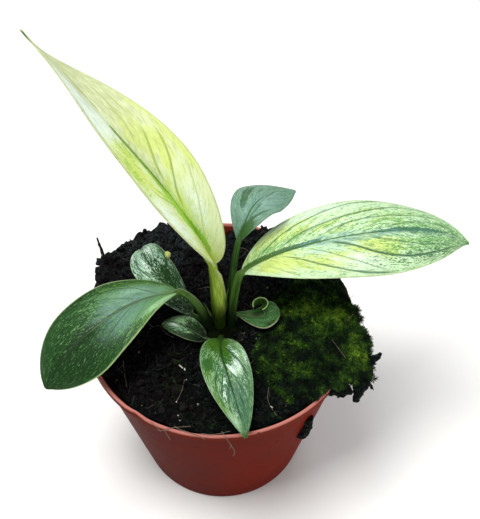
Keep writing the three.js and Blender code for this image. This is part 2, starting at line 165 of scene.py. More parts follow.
class Paint:
    """A material under construction, with one Principled shader at its end."""

    def __init__(self, name, roughness=0.5, shine=0.5):
        self.material = bpy.data.materials.new(name)
        self.material.use_nodes = True
        self.tree = self.material.node_tree
        self.shader = self.tree.nodes["Principled BSDF"]
        self.shader.inputs["Roughness"].default_value = roughness
        self.shader.inputs["Specular IOR Level"].default_value = shine

    def give(self, socket, value):
        if isinstance(value, Value):
            self.tree.links.new(value.socket, socket)
        elif isinstance(value, tuple) and len(value) == 3 and len(socket.default_value) == 4:
            socket.default_value = (*value, 1)
        else:
            socket.default_value = value

    def node(self, kind, settings, sockets, output=0):
        """Any node: its type, its settings, and the values or links of its sockets."""
        made = self.tree.nodes.new(kind)
        for name, value in settings.items():
            if name == "curve":
                points = made.mapping.curves[0].points
                while len(points) < len(value):
                    points.new(0.5, 0.5)
                for point, (x, y) in zip(points, value):
                    point.location = (x, y)
                made.mapping.update()
            else:
                setattr(made, name, value)
        for key, value in sockets.items():
            self.give(made.inputs[key], value)
        return Value(self, made.outputs[output])

    def mix(self, share, first, second):
        settings = {"data_type": "RGBA"}
        return self.node("ShaderNodeMix", settings, {0: share, 6: first, 7: second}, 2)

    def join(self, x, y, z=0.0):
        return self.node("ShaderNodeCombineXYZ", {}, {0: x, 1: y, 2: z})

    def noise(self, vector, scale, detail=2.0, roughness=0.5):
        sockets = {"Vector": vector, "Scale": scale, "Detail": detail, "Roughness": roughness}
        return self.node("ShaderNodeTexNoise", {}, sockets)

    def place(self):
        return self.node("ShaderNodeTexCoord", {}, {}, 3)

    def axes(self, vector):
        return [self.node("ShaderNodeSeparateXYZ", {}, {0: vector}, k) for k in range(3)]

    def field(self, name):
        return self.node("ShaderNodeAttribute", {"attribute_name": name}, {}, 2)

    def finish(self, colour, roughness=None, height=None, depth=0.001):
        """Links what the surface shows: its colour, its roughness and its fine relief."""
        self.give(self.shader.inputs["Base Color"], colour)
        if roughness is not None:
            self.give(self.shader.inputs["Roughness"], roughness)
        if height is not None:
            relief = {"Height": height, "Strength": 1.0, "Distance": depth}
            self.give(self.shader.inputs["Normal"], self.node("ShaderNodeBump", {}, relief))
        return self.material


def rgb(red, green, blue):
    """A colour as an image editor shows it, from 0 to 255, in Blender's linear values."""
    shares = [c / 255 for c in (red, green, blue)]
    return tuple(c / 12.92 if c <= 0.04045 else ((c + 0.055) / 1.055) ** 2.4 for c in shares)


# %% Floor finish
floor_paint = Paint("pale_floor", 0.8)
floor_tone = floor_paint.noise(floor_paint.place(), 3.0)
floor.data.materials.append(floor_paint.finish(
    floor_paint.mix(floor_tone, rgb(252, 252, 252), rgb(254, 254, 253))
))

# %% [markdown]
# ## Placing grids of points
#
# Leaves, stems, peat and moss are all smooth skins that a formula describes well and hand
# modelling doesn't. Each starts as a grid primitive, which brings neat quads and a UV map, and a
# function of the two grid directions then puts every vertex in its place. Tubes and mounds close on
# themselves, so their doubles are merged and their normals made to point out.


# %% Tools for meshes
def only(piece):
    """Deselects everything else and makes a piece active."""
    bpy.ops.object.select_all(action="DESELECT")
    piece.select_set(True)
    bpy.context.view_layer.objects.active = piece


def shaped_grid(name, rows, columns, place):
    """A grid primitive whose points go where place(u, v) says, in mm, for u and v from 0 to 1."""
    bpy.ops.object.select_all(action="DESELECT")
    bpy.ops.mesh.primitive_grid_add(x_subdivisions=rows, y_subdivisions=columns, size=2)
    piece = bpy.context.object
    piece.name = name
    flat = np.zeros(len(piece.data.vertices) * 3, np.float32)
    piece.data.vertices.foreach_get("co", flat)
    u, v = (flat.reshape(-1, 3)[:, k].astype(float) / 2 + 0.5 for k in (0, 1))
    points = place(u, v) * MM
    piece.data.vertices.foreach_set("co", points.astype(np.float32).ravel())
    piece.data.update()
    return piece, u, v


def close_skin(piece, gap=0.00001):
    """Merges the doubles of a closed skin and turns its faces outwards."""
    only(piece)
    bpy.ops.object.mode_set(mode="EDIT")
    bpy.ops.mesh.select_all(action="SELECT")
    bpy.ops.mesh.remove_doubles(threshold=gap)
    bpy.ops.mesh.normals_make_consistent(inside=False)
    bpy.ops.object.mode_set(mode="OBJECT")


def apply_modifier(piece, kind, **settings):
    """Adds one modifier, sets it up and applies it."""
    only(piece)
    modifier = piece.modifiers.new(kind.lower(), kind)
    for key, value in settings.items():
        setattr(modifier, key, value)
    bpy.ops.object.modifier_apply(modifier=modifier.name)


def joined(pieces, name):
    """Joins pieces into the first of them and gives it a name."""
    only(pieces[0])
    for piece in pieces[1:]:
        piece.select_set(True)
    bpy.ops.object.join()
    pieces[0].name = name
    return pieces[0]


def hand_over(piece, node, angle=60):
    """The last step for every piece: smooth shading, and its place in the frame."""
    only(piece)
    bpy.ops.object.shade_smooth_by_angle(angle=math.radians(angle))
    piece.data.name = piece.name
    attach(piece, "root")
    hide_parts(node)
    print(f"{piece.name}: {len(piece.data.polygons)} faces for {node}")


def set_field(piece, name, values):
    """Stores one number per vertex, for a material to read."""
    attribute = piece.data.attributes.new(name, "FLOAT", "POINT")
    attribute.data.foreach_set("value", np.asarray(values, np.float32))


# %% Tools for numbers
def smooth(low, high, value):
    share = np.clip((value - low) / (high - low), 0, 1)
    return share * share * (3 - 2 * share)


def blend(first, second, share):
    return first + (second - first) * share


def around(table, degrees):
    """Reads columns of a table by angle, with a smooth pass from row to row."""
    table = np.array(table, float)
    degrees = np.mod(degrees, 360)
    row = np.clip(np.searchsorted(table[:, 0], degrees, side="right"), 1, len(table) - 1)
    share = smooth(table[row - 1, 0], table[row, 0], degrees)
    return [blend(table[row - 1, k], table[row, k], share) for k in range(1, table.shape[1])]


def clods(x, y, size, seed):
    """Random hills from -1 to 1, about one to each size, and the same on every run."""
    heights = np.random.default_rng(seed).uniform(-1, 1, (97, 97))
    gx, gy = np.asarray(x) / size + 48.3, np.asarray(y) / size + 48.3
    ix, iy = np.floor(gx).astype(int), np.floor(gy).astype(int)
    sx, sy = smooth(0, 1, gx - ix), smooth(0, 1, gy - iy)
    ix, iy = ix % 96, iy % 96
    near = blend(heights[ix, iy], heights[ix + 1, iy], sx)
    far = blend(heights[ix, iy + 1], heights[ix + 1, iy + 1], sx)
    return blend(near, far, sy)


def oval(x, y, spot):
    """A soft oval: middle (x, y), its half sizes, and its strength."""
    middle_x, middle_y, size_x, size_y, strength = spot
    far = np.sqrt(((x - middle_x) / size_x) ** 2 + ((y - middle_y) / size_y) ** 2)
    return strength * smooth(1.5, 0.1, far)


def unit(vectors):
    return vectors / np.maximum(np.linalg.norm(vectors, axis=-1, keepdims=True), 1e-12)


def bezier(points, share):
    """Places and directions on a cubic curve through its first and last point."""
    a, b, c, d = np.array(points, float)
    t = np.asarray(share, float)[:, None]
    place = (1 - t) ** 3 * a + 3 * (1 - t) ** 2 * t * b + 3 * (1 - t) * t ** 2 * c + t ** 3 * d
    way = (1 - t) ** 2 * (b - a) + 2 * (1 - t) * t * (c - b) + t ** 2 * (d - c)
    return place, unit(way)


def rounded(points, rounds=3):
    """A line through few points made smooth, by cutting its corners a few times."""
    line = np.array(points, float)
    for _ in range(rounds):
        near, far = blend(line[:-1], line[1:], 0.25), blend(line[:-1], line[1:], 0.75)
        line = np.concatenate([line[:1], np.stack([near, far], 1).reshape(-1, 3), line[-1:]])
    return line


# %% [markdown]
# ## The nursery pot
#
# The pot is thin injection-moulded plastic: a tapered wall, a shallow stepped lip that stiffens the
# mouth, a rounded heel and six drain holes. It could be a lathe curve, but by hand it is quicker to
# start from a circle at the heel and extrude its edge ring by ring, up the outside, over the lip
# and down the inside. The floor's holes are cut with a Boolean.

# %% Pot sizes
POT_HEIGHT = 93.5
RIM_RADIUS = 60.0
BASE_RADIUS = 41.0
POT_WALL = 1.4
LIP_DEPTH = 4.0
LIP_STEP = 1.8
LIP_FOOT = POT_HEIGHT - LIP_DEPTH
WALL_SLOPE = (RIM_RADIUS - LIP_STEP - BASE_RADIUS) / LIP_FOOT


def outside_radius(z):
    return BASE_RADIUS + z * WALL_SLOPE


def inside_radius(z):
    return outside_radius(z) - POT_WALL


# %% Pot wall, ring by ring
POT_RINGS = [
    (BASE_RADIUS - 0.3, 0.25), (outside_radius(0.9), 0.9), (outside_radius(2), 2.0),
    (outside_radius(30), 30.0), (outside_radius(60), 60.0), (outside_radius(84), 84.0),
    (outside_radius(LIP_FOOT - 1.2), LIP_FOOT - 1.2), (outside_radius(LIP_FOOT), LIP_FOOT - 0.2),
    (RIM_RADIUS - 0.5, LIP_FOOT + 0.25), (RIM_RADIUS, LIP_FOOT + 0.8),
    (RIM_RADIUS, POT_HEIGHT - 0.7), (RIM_RADIUS - 0.2, POT_HEIGHT - 0.2),
    (RIM_RADIUS - 0.65, POT_HEIGHT), (RIM_RADIUS - 1.05, POT_HEIGHT - 0.05),
    (RIM_RADIUS - POT_WALL, POT_HEIGHT - 0.5), (inside_radius(LIP_FOOT), LIP_FOOT - 0.7),
    (inside_radius(60), 60.0), (inside_radius(30), 30.0), (inside_radius(3), 3.0),
    (inside_radius(POT_WALL) - 0.8, POT_WALL),
]
bpy.ops.object.select_all(action="DESELECT")
HEEL_RADIUS = BASE_RADIUS - 0.9
bpy.ops.mesh.primitive_circle_add(vertices=144, radius=HEEL_RADIUS * MM, fill_type="NOTHING")
pot = bpy.context.object
pot.name = "nursery_pot"
bpy.ops.object.mode_set(mode="EDIT")
bpy.ops.mesh.select_all(action="SELECT")
ring_radius, ring_height = HEEL_RADIUS, 0.0
for radius, height in POT_RINGS:
    bpy.ops.mesh.extrude_edges_move()
    bpy.ops.transform.resize(value=(radius / ring_radius, radius / ring_radius, 1))
    bpy.ops.transform.translate(value=(0, 0, (height - ring_height) * MM))
    ring_radius, ring_height = radius, height
bpy.ops.mesh.edge_face_add()
bpy.ops.mesh.select_all(action="DESELECT")
bpy.ops.object.mode_set(mode="OBJECT")

# %% The underside closes the heel
for edge in pot.data.edges:
    edge.select = all(abs(pot.data.vertices[k].co.z) < 1e-7 for k in edge.vertices)
for vertex in pot.data.vertices:
    vertex.select = abs(vertex.co.z) < 1e-7
bpy.ops.object.mode_set(mode="EDIT")
bpy.ops.mesh.select_mode(type="EDGE")
bpy.ops.mesh.edge_face_add()
bpy.ops.mesh.select_mode(type="VERT")
bpy.ops.mesh.select_all(action="SELECT")
bpy.ops.mesh.normals_make_consistent(inside=False)
bpy.ops.object.mode_set(mode="OBJECT")

# %% Drain holes
DRAIN_HOLES = 6
DRAIN_RADIUS = 3.5
DRAIN_CIRCLE = 28.0
drills = []
for k in range(DRAIN_HOLES):
    angle = k / DRAIN_HOLES * 2 * math.pi
    spot = (DRAIN_CIRCLE * MM * math.cos(angle), DRAIN_CIRCLE * MM * math.sin(angle), 0)
    bpy.ops.mesh.primitive_cylinder_add(
        vertices=32, radius=DRAIN_RADIUS * MM, depth=POT_WALL * 4 * MM, location=spot
    )
    drills.append(bpy.context.object)
drill = joined(drills, "drill")
apply_modifier(pot, "BOOLEAN", operation="DIFFERENCE", object=drill, solver="EXACT")
bpy.data.objects.remove(drill)

# %% A dent in the lip
DENT_AT = (-34.0, -49.4, 93.0)
DENT_RADIUS = 3.2
DENT_DEPTH = 0.9
for vertex in pot.data.vertices:
    near = math.exp(-((vertex.co / MM - Vector(DENT_AT)).length / DENT_RADIUS) ** 2)
    inwards = Vector((-DENT_AT[0], -DENT_AT[1], -30)).normalized()
    vertex.co += inwards * near * DENT_DEPTH * MM
print("pot:", len(pot.data.polygons), "faces")

# %% [markdown]
# ### The pot's finish
#
# Recycled terracotta-coloured plastic: brown-red, with faint upright flow marks, faint scuffs, dust
# and a few dark specks. The lip is painted paler and pinker, and its top edge paler still: a
# painted highlight, where the lip catches the light. The body is painted darker on the left and
# lighter on
# the right: painted shade, as if lit from the right. The lip mask comes from the height in object
# coordinates, so it stays put on the pot.

# %% Pot finish
paint = Paint("pot_plastic", 0.5, 0.01)
spot = paint.place()
x, y, z = paint.axes(spot)
height = z / MM
cloud = paint.noise(spot, 28.0, 4.0, 0.6)
flow = paint.noise(paint.join(x * 900, y * 900, z * 60), 0.35, 3.0, 0.6)
dust = paint.noise(spot, 700.0, 3.0, 0.7).step(0.56, 0.70)
lip = height.step(LIP_FOOT - 0.3, LIP_FOOT + 0.6)
brow = height.step(POT_HEIGHT - 1.3, POT_HEIGHT - 0.3)
# Darker on the left and lighter on the right along x: painted shade, as if lit from the right, with
# random cloud in it.
body = paint.mix((cloud + x * 6.0).step(0.2, 0.85), rgb(80, 12, 1), rgb(102, 21, 3))
body = paint.mix(flow.step(0.45, 0.75) * 0.15, body, rgb(112, 38, 20))
# Paler, pinker lip and a paler top edge: painted highlight, where the lip catches the light.
body = paint.mix(lip * 0.35, body, rgb(126, 62, 48))
body = paint.mix(brow * (0.45 + cloud * 0.5), body, rgb(206, 136, 126))
body = paint.mix(dust * 0.03, body, rgb(170, 112, 96))
specks = paint.node(
    "ShaderNodeTexVoronoi", {"distance": "EUCLIDEAN"}, {"Vector": spot, "Scale": 95.0}
)
body = paint.mix(specks.step(0.085, 0.06) * 0.75, body, rgb(52, 24, 16))
scuffs = paint.noise(paint.join(x * 300, y * 300, z * 1500), 1.0, 3.0, 0.6).step(0.66, 0.76)
body = paint.mix(scuffs * 0.07, body, rgb(176, 118, 104))
grain = paint.noise(spot, 1400.0, 2.0, 0.5)
pot.data.materials.append(paint.finish(
    body, 0.36 + cloud * 0.16 + dust * 0.2, cloud * 0.6 + grain * 0.06, 0.0006
))
hand_over(pot, "pot", 40)

# %% [markdown]
# ## The peat
#
# The root ball is black fibrous peat. It stands above the lip at the back left and on the right and
# lies lower in front. The same table of edge heights that made the CAD solid makes this surface, so
# it keeps the solid's form; smaller clods and crumbs are added to it. A height function is kept,
# because everything that lies on the peat asks it where the ground is.

# %% The ground's height
SOIL_AT_CROWN = 97.5
CROWN_AT = (0.8, -9.2)
SOIL_EDGE = [
    (0, 97, 60), (30, 97, 60), (58, 99.5, 59.5), (78, 93, 57.5), (93, 88.5, 57),
    (104, 95, 58.5), (117, 99.5, 59.5), (133, 100.5, 60.5), (150, 100, 62), (164, 97, 60),
    (182, 93, 57.5), (205, 91.5, 57), (270, 92.2, 57), (305, 92.5, 57), (322, 95, 60),
    (342, 97, 62), (360, 97, 60),
]


def soil_lump(x, y):
    wide = np.sin(x * 0.31 + 1.3) * np.cos(y * 0.27 - 0.4)
    fine = np.sin(x * 0.83 - y * 0.61) * np.cos(x * 0.47 + y * 0.92 + 2.1)
    return 1.1 * (0.6 * wide + 0.7 * fine)


def soil_height(x, y):
    """The smooth ground that the CAD solid has, in mm."""
    radius = np.hypot(x, y)
    height, reach = around(SOIL_EDGE, np.degrees(np.arctan2(y, x)))
    share = np.minimum(radius / reach, 1.15)
    return blend(SOIL_AT_CROWN, height, share ** 2.4) + soil_lump(x, y) * smooth(4, 16, radius)


def ground(x, y):
    """The smooth ground with its clods and crumbs."""
    rough = 0.9 * clods(x, y, 4.3, 11) + 0.55 * clods(x, y, 2.1, 12) + 0.3 * clods(x, y, 1.1, 13)
    calm = smooth(3, 9, np.hypot(x - CROWN_AT[0], y - CROWN_AT[1]))
    return soil_height(x, y) + rough * (0.35 + 0.65 * calm) - 0.35


# %% The body of the peat
SOIL_TOP_FROM = 0.10


def soil_skin(u, v):
    """Up the outside of the root ball for the first tenth of u, then in to the middle."""
    angle = v * 2 * math.pi
    height, reach = around(SOIL_EDGE, np.degrees(angle))
    ragged = clods(60 * np.cos(angle), 60 * np.sin(angle), 2.4, 21)
    reach = reach + 0.7 * ragged * (height > POT_HEIGHT)
    share = np.clip((1 - u) / (1 - SOIL_TOP_FROM), 0, 1)
    radius = reach * share
    x, y = radius * np.cos(angle), radius * np.sin(angle)
    top = np.maximum(ground(x, y), 88.0) - 0.6 * smooth(0.97, 1.0, share)
    over = height > POT_HEIGHT + 1.5
    wall = np.stack([
        0 * angle, 0 * angle + inside_radius(2) - 0.5, 0 * angle + inside_radius(70) - 0.4,
        0 * angle + inside_radius(88) - 0.4, np.where(over, reach, inside_radius(88) - 0.4),
    ])
    rise = np.stack([
        0 * angle + 1.8, 0 * angle + 1.8, 0 * angle + 70, 0 * angle + 88,
        np.where(over, POT_HEIGHT + 0.6, 88.5),
    ])
    stage = np.clip(np.round(u / SOIL_TOP_FROM * 5).astype(int), 0, 4)
    picked = np.arange(len(u))
    low = u < SOIL_TOP_FROM - 1e-6
    radius = np.where(low, wall[stage, picked], radius)
    z = np.where(low, rise[stage, picked], top)
    return np.stack([radius * np.cos(angle), radius * np.sin(angle), z], 1)


peat, _, _ = shaped_grid("peat_surface", 50, 260, soil_skin)
close_skin(peat)
print("peat surface:", len(peat.data.polygons), "faces")


# %% Crumbs, modelled once and strewn as copies
def modelled_crumb(seed):
    """One angular crumb of peat, 20 faces, about 1 mm across, as points and faces."""
    bpy.ops.object.select_all(action="DESELECT")
    bpy.ops.mesh.primitive_ico_sphere_add(subdivisions=1, radius=0.5)
    crumb = bpy.context.object
    rng = np.random.default_rng(seed)
    points = np.array([v.co for v in crumb.data.vertices])
    points = points * rng.uniform(0.65, 1.25, (len(points), 1)) * (1.25, 0.9, 0.7)
    faces = np.array([list(p.vertices) for p in crumb.data.polygons])
    bpy.data.objects.remove(crumb)
    return points, faces


def turned(rng, count, upright=0.0):
    """Random turns as 3 x 3 matrices. upright from 0 to 1 keeps the local Z near the world's."""
    up = unit(rng.normal(size=(count, 3)) * (1 - upright) + np.array([0, 0, 1.0]) * upright * 2)
    side = unit(np.cross(up, unit(rng.normal(size=(count, 3)))))
    return np.stack([side, np.cross(up, side), up], 2)


def strewn(name, shapes, places, sizes, turns, pick, shade):
    """One mesh of many copies: each of the shapes, turned, scaled and moved to its place in mm."""
    points, faces, shades, start = [], [], [], 0
    for k, (shape, skin) in enumerate(shapes):
        chosen = np.flatnonzero(pick == k)
        if not len(chosen):
            continue
        copies = np.einsum("nij,pj->npi", turns[chosen], shape) * sizes[chosen, None, None]
        copies += places[chosen, None, :]
        offsets = start + np.arange(len(chosen)) * len(shape)
        points.append(copies.reshape(-1, 3))
        faces.append((skin[None] + offsets[:, None, None]).reshape(-1, skin.shape[1]))
        shades.append(np.repeat(shade[chosen], len(shape)))
        start += len(chosen) * len(shape)
    mesh = bpy.data.meshes.new(name)
    mesh.from_pydata(np.concatenate(points) * MM, [], np.concatenate(faces).tolist())
    piece = bpy.data.objects.new(name, mesh)
    bpy.context.scene.collection.objects.link(piece)
    set_field(piece, "shade", np.concatenate(shades))
    return piece


def open_spots(rng, count, margin=0.5):
    """Random places on the peat, in mm, away from the crown and inside the edge."""
    angle = rng.uniform(0, 2 * math.pi, count)
    _, reach = around(SOIL_EDGE, np.degrees(angle))
    radius = (reach - margin) * np.sqrt(rng.uniform(0, 1, count))
    x, y = radius * np.cos(angle), radius * np.sin(angle)
    clear = np.hypot(x - CROWN_AT[0], y - CROWN_AT[1]) > 7
    return np.stack([x[clear], y[clear], ground(x[clear], y[clear])], 1)


CRUMBS = 6500
rng = np.random.default_rng(31)
spots = open_spots(rng, CRUMBS)
count = len(spots)
sizes = 0.7 + 2.9 * rng.uniform(0, 1, count) ** 3
spots[:, 2] += sizes * 0.12
# Clods at the torn edge, as (x, y, z, size), and lumps on the ground, as (x, y, size)
EDGE_CLODS = [
    (-54.5, 29, 98, 6.5), (-56.5, 30.5, 97, 4.5), (-53.5, 33, 98, 5), (-57, 26, 96.5, 5),
    (-54.5, 24.5, 97.5, 6.5), (-56.5, 21, 96, 5), (-54, 19.5, 97.5, 5.5), (-55.5, 16.5, 96, 4.5),
    (-51, 29, 98.5, 5), (-52, 25, 98.5, 4.5), (-57.6, 28, 99, 2.6), (-55.5, 30.5, 100.5, 2.8),
    (-28, 52, 98.5, 7), (-25, 52.5, 98.5, 6), (-31, 50, 98, 6), (-35.5, 48, 98, 5.5),
    (-38.5, 46.5, 97.5, 5), (-27, 49, 99, 6), (27, 51.5, 96.5, 4), (29.5, 51, 96, 3),
]
LUMPS = [(-14.7, 35, 7), (-17.5, 40, 6.5), (-11, 29, 5.5), (-24, 44, 7), (-5, 41, 6), (-30, 38, 6),
         (-40, 30, 6.5), (-44, 22, 6), (-47, 14, 6), (-8, 47, 5.5), (18, 44, 5), (-22, 33, 5)]
lump_x, lump_y, lump_sizes = np.array(LUMPS, float).T
lump_spots = np.stack([lump_x, lump_y, ground(lump_x, lump_y) + lump_sizes * 0.1], 1)
spots = np.concatenate([spots, [clod[:3] for clod in EDGE_CLODS], lump_spots])
sizes = np.concatenate([sizes, [clod[3] for clod in EDGE_CLODS], lump_sizes])
count = len(spots)
crumbs = strewn(
    "peat_crumbs", [modelled_crumb(s) for s in (1, 2, 3, 4)], spots, sizes,
    turned(rng, count, 0.3), rng.integers(0, 4, count), rng.uniform(0, 1, count),
)


# %% Fibres: short curved threads with a triangle for a section
def modelled_thread(seed, bends, segments=6, thick=0.5):
    """A curved thread of length 1 along local X, as points and faces; radius is 1 times thick."""
    rng = np.random.default_rng(seed)
    along = np.linspace(-0.5, 0.5, segments + 1)
    sway = np.cumsum(rng.normal(0, bends, (segments + 1, 2)), 0) / segments
    sway -= sway.mean(0)
    radius = thick * (0.35 + 0.65 * np.sin(np.linspace(0.15, math.pi - 0.25, segments + 1)))
    rings = []
    for k in range(3):
        angle = k * 2 * math.pi / 3
        rings.append(np.stack([
            along, sway[:, 0] + radius * math.cos(angle), sway[:, 1] + radius * math.sin(angle),
        ], 1))
    points = np.concatenate(rings)
    size = segments + 1
    faces = []
    for k in range(3):
        a, b = k * size, (k + 1) % 3 * size
        for i in range(segments):
            faces += [(a + i, a + i + 1, b + i + 1), (a + i, b + i + 1, b + i)]
    faces += [(0, size, 2 * size), (segments, 2 * size + segments, size + segments)]
    return points, np.array(faces)


def lying(rng, count, tilt):
    """Turns that keep the local X nearly level, for threads that lie on the ground."""
    heading = rng.uniform(0, 2 * math.pi, count)
    dip = rng.normal(0, tilt, count)
    ahead = np.stack([np.cos(heading) * np.cos(dip), np.sin(heading) * np.cos(dip), np.sin(dip)], 1)
    side = unit(np.cross(np.array([0, 0, 1.0]), ahead))
    return np.stack([ahead, side, np.cross(ahead, side)], 2)


FIBRES = 900
rng = np.random.default_rng(32)
spots = open_spots(rng, FIBRES, 2.5)
count = len(spots)
lengths = rng.uniform(2.5, 8.0, count)
spots[:, 2] += 0.5
threads = [modelled_thread(s, 0.28, 6, 0.028) for s in range(6)]
fibres = strewn(
    "peat_fibres", threads, spots, lengths, lying(rng, count, 0.25),
    rng.integers(0, 6, count), rng.uniform(0, 1, count),
)

# %% Pale rootlets, and bits of white and golden grit
ROOTLETS = 26
rng = np.random.default_rng(33)
spots = open_spots(rng, ROOTLETS, 4)
count = len(spots)
spots[:, 2] += 0.9
threads = [modelled_thread(s + 50, 0.35, 9, 0.014) for s in range(6)]
rootlets = strewn(
    "pale_rootlets", threads, spots, rng.uniform(6, 15, count), lying(rng, count, 0.12),
    rng.integers(0, 6, count), rng.uniform(0, 1, count),
)
GRIT = 70
rng = np.random.default_rng(34)
spots = open_spots(rng, GRIT, 2)
count = len(spots)
spots[:, 2] += 0.45
grit = strewn(
    "grit", [modelled_crumb(s) for s in (7, 8)], spots, 0.5 + 0.9 * rng.uniform(0, 1, count) ** 2,
    turned(rng, count, 0.3), rng.integers(0, 2, count), rng.uniform(0, 1, count),
)

# %% [markdown]
# ### Finishes for the peat
#
# Damp peat is nearly black, with brown and dull green tones that change from crumb to crumb, and
# small wet glints. The shade field gives every crumb a tone of its own. Pale bluish flecks at the
# back are a painted highlight, where the back of the peat is lit.

# %% Peat finishes
def peat_finish(name, wet):
    paint = Paint(name, 0.8, 0.06)
    spot = paint.place()
    x, y, _ = paint.axes(spot)
    cloud = paint.noise(spot, 60.0, 3.0, 0.6)
    fine = paint.noise(spot, 900.0, 4.0, 0.7)
    mossy = (cloud + x * 4.0 + abs(y) * 3.0).step(0.46, 0.70)
    tone = paint.mix(mossy, rgb(11, 7, 9), rgb(7, 14, 12))
    tone = paint.mix(fine.step(0.53, 0.74), tone, rgb(42, 40, 41))
    tone = paint.mix(paint.field("shade").step(0.75, 1.0) * 0.6, tone, rgb(36, 33, 32))
    tone = paint.mix(mossy * fine.step(0.52, 0.66) * 0.6, tone, rgb(26, 42, 38))
    # Pale bluish flecks at the back of the peat: a painted highlight, where the back is lit.
    high = y.step(0.012, 0.034) * (x + cloud * 0.04).step(0.04, 0.0) * cloud.step(0.38, 0.56)
    tone = paint.mix(high * fine.step(0.42, 0.60) * 0.75, tone, rgb(52, 60, 62))
    glint = paint.noise(spot, 500.0, 2.0, 0.6).step(0.50, 0.66)
    return paint.finish(tone, 0.85 - glint * wet, fine, 0.0009)


def tinted_finish(name, dark, light, roughness):
    """A plain natural finish between two tones, by each copy's own shade and fine noise."""
    paint = Paint(name, roughness, 0.25)
    fine = paint.noise(paint.place(), 500.0, 3.0, 0.6)
    share = paint.field("shade") * 0.7 + fine * 0.5
    return paint.finish(paint.mix(share.step(0.15, 0.95), dark, light), height=fine, depth=0.0003)


peat.data.materials.append(peat_finish("damp_peat", 0.35))
crumbs.data.materials.append(peat_finish("peat_crumb", 0.45))
fibres.data.materials.append(tinted_finish("peat_fibre", rgb(11, 11, 11), rgb(48, 46, 44), 0.7))
rootlets.data.materials.append(tinted_finish("rootlet", rgb(48, 42, 38), rgb(120, 110, 98), 0.6))

paint = Paint("grit_grain", 0.5)
kind = paint.field("shade")
tone = paint.mix(kind.step(0.45, 0.47), rgb(206, 206, 200), rgb(140, 106, 62))
tone = paint.mix(kind.step(0.6, 0.62), tone, rgb(74, 66, 60))
grain = paint.noise(paint.place(), 900.0)
grit.data.materials.append(paint.finish(tone, height=grain, depth=0.0003))
for piece, angle in ((peat, 30), (crumbs, 20), (fibres, 60), (rootlets, 60), (grit, 20)):
    hand_over(piece, "soil", angle)

# %% [markdown]
# ## The moss
#
# A cushion of moss covers the right of the peat and bulges over the lip. It is a mound, made like
# the peat, dressed with thousands of small shoots. A shoot is modelled once: a ring of pointed
# leaflets, each a thin closed sliver. Copies are strewn over the mound and lean outwards with it.

# %% The mound
MOSS_AT = (42.0, -14.0)
MOSS_DEPTH = 4.2
MOSS_EDGE = [
    (0, 24.5), (20, 21), (45, 24), (70, 31), (90, 32), (120, 28), (150, 24), (180, 23),
    (210, 29), (240, 31), (262, 28), (285, 24.5), (310, 25), (335, 27), (360, 24.5),
]


def moss_top(x, y, share):
    from_axis = np.maximum(np.hypot(x, y), 1e-6)
    on_soil = np.minimum(from_axis, RIM_RADIUS)
    base = soil_height(x * on_soil / from_axis, y * on_soil / from_axis)
    droop = 0.09 * np.maximum(0, from_axis - RIM_RADIUS) ** 2
    crumbs = 0.6 * np.sin(x * 0.9) * np.cos(y * 0.8 + 1)
    fluff = 0.7 * clods(x, y, 5.0, 41) + 0.5 * clods(x, y, 2.4, 42)
    return base + MOSS_DEPTH * np.sqrt(1 - share * share * 0.96) - droop + crumbs + fluff


def moss_at(angle, share):
    (reach,) = around(MOSS_EDGE, np.degrees(angle))
    ring_x, ring_y = 28 * np.cos(angle), 28 * np.sin(angle)
    reach = reach + 1.5 * clods(ring_x, ring_y, 4.6, 43) + 0.8 * clods(ring_x, ring_y, 2.0, 45)
    x = MOSS_AT[0] + reach * share * np.cos(angle)
    y = MOSS_AT[1] + reach * share * np.sin(angle)
    return x, y, moss_top(x, y, share)


def moss_skin(u, v):
    """The underside for the first part of u, from the middle out, then the top from the edge in."""
    angle = v * 2 * math.pi
    below = u < 0.3
    share = np.where(below, np.clip(u / 0.28, 0, 1), np.clip((1 - u) / 0.68, 0, 1))
    x, y, top = moss_at(angle, share)
    from_axis = np.hypot(x, y)
    inside = np.where(from_axis < inside_radius(88) - 1, soil_height(x, y) - 1.5, POT_HEIGHT + 0.5)
    hanging = np.maximum(84.5, top - 0.8 - 8.5 * np.sqrt(1 - share * share))
    under = np.where(from_axis < RIM_RADIUS + 0.6, inside, np.minimum(hanging, POT_HEIGHT + 0.5))
    under = np.minimum(under, top - 0.8)
    return np.stack([x, y, np.where(below, under, top)], 1)


moss, _, _ = shaped_grid("moss_mound", 70, 190, moss_skin)
close_skin(moss)


# %% One shoot, and its copies
def modelled_shoot(seed, leaflets=8):
    """A small star of pointed leaflets on local Z, as points and faces."""
    rng = np.random.default_rng(seed)
    points, faces = [], []
    for k in range(leaflets):
        angle = 2 * math.pi * k / leaflets + rng.uniform(-0.3, 0.3)
        rise = rng.uniform(0.25, 1.15)
        out = np.array([math.cos(angle), math.sin(angle), 0])
        side = np.array([-math.sin(angle), math.cos(angle), 0])
        up = np.array([0, 0, 1.0])
        foot = up * rng.uniform(-0.2, 0.35)
        middle = foot + out * 0.45 + up * 0.45 * rise
        tip = foot + out * 1.0 + up * (rise * 0.9)
        start = len(points)
        points += [foot, middle + side * 0.13, middle - side * 0.13, middle - up * 0.09, tip]
        faces += [
            (start, start + 1, start + 2), (start + 1, start + 4, start + 2),
            (start, start + 2, start + 3), (start + 2, start + 4, start + 3),
            (start, start + 3, start + 1), (start + 3, start + 4, start + 1),
        ]
    return np.array(points), np.array(faces)


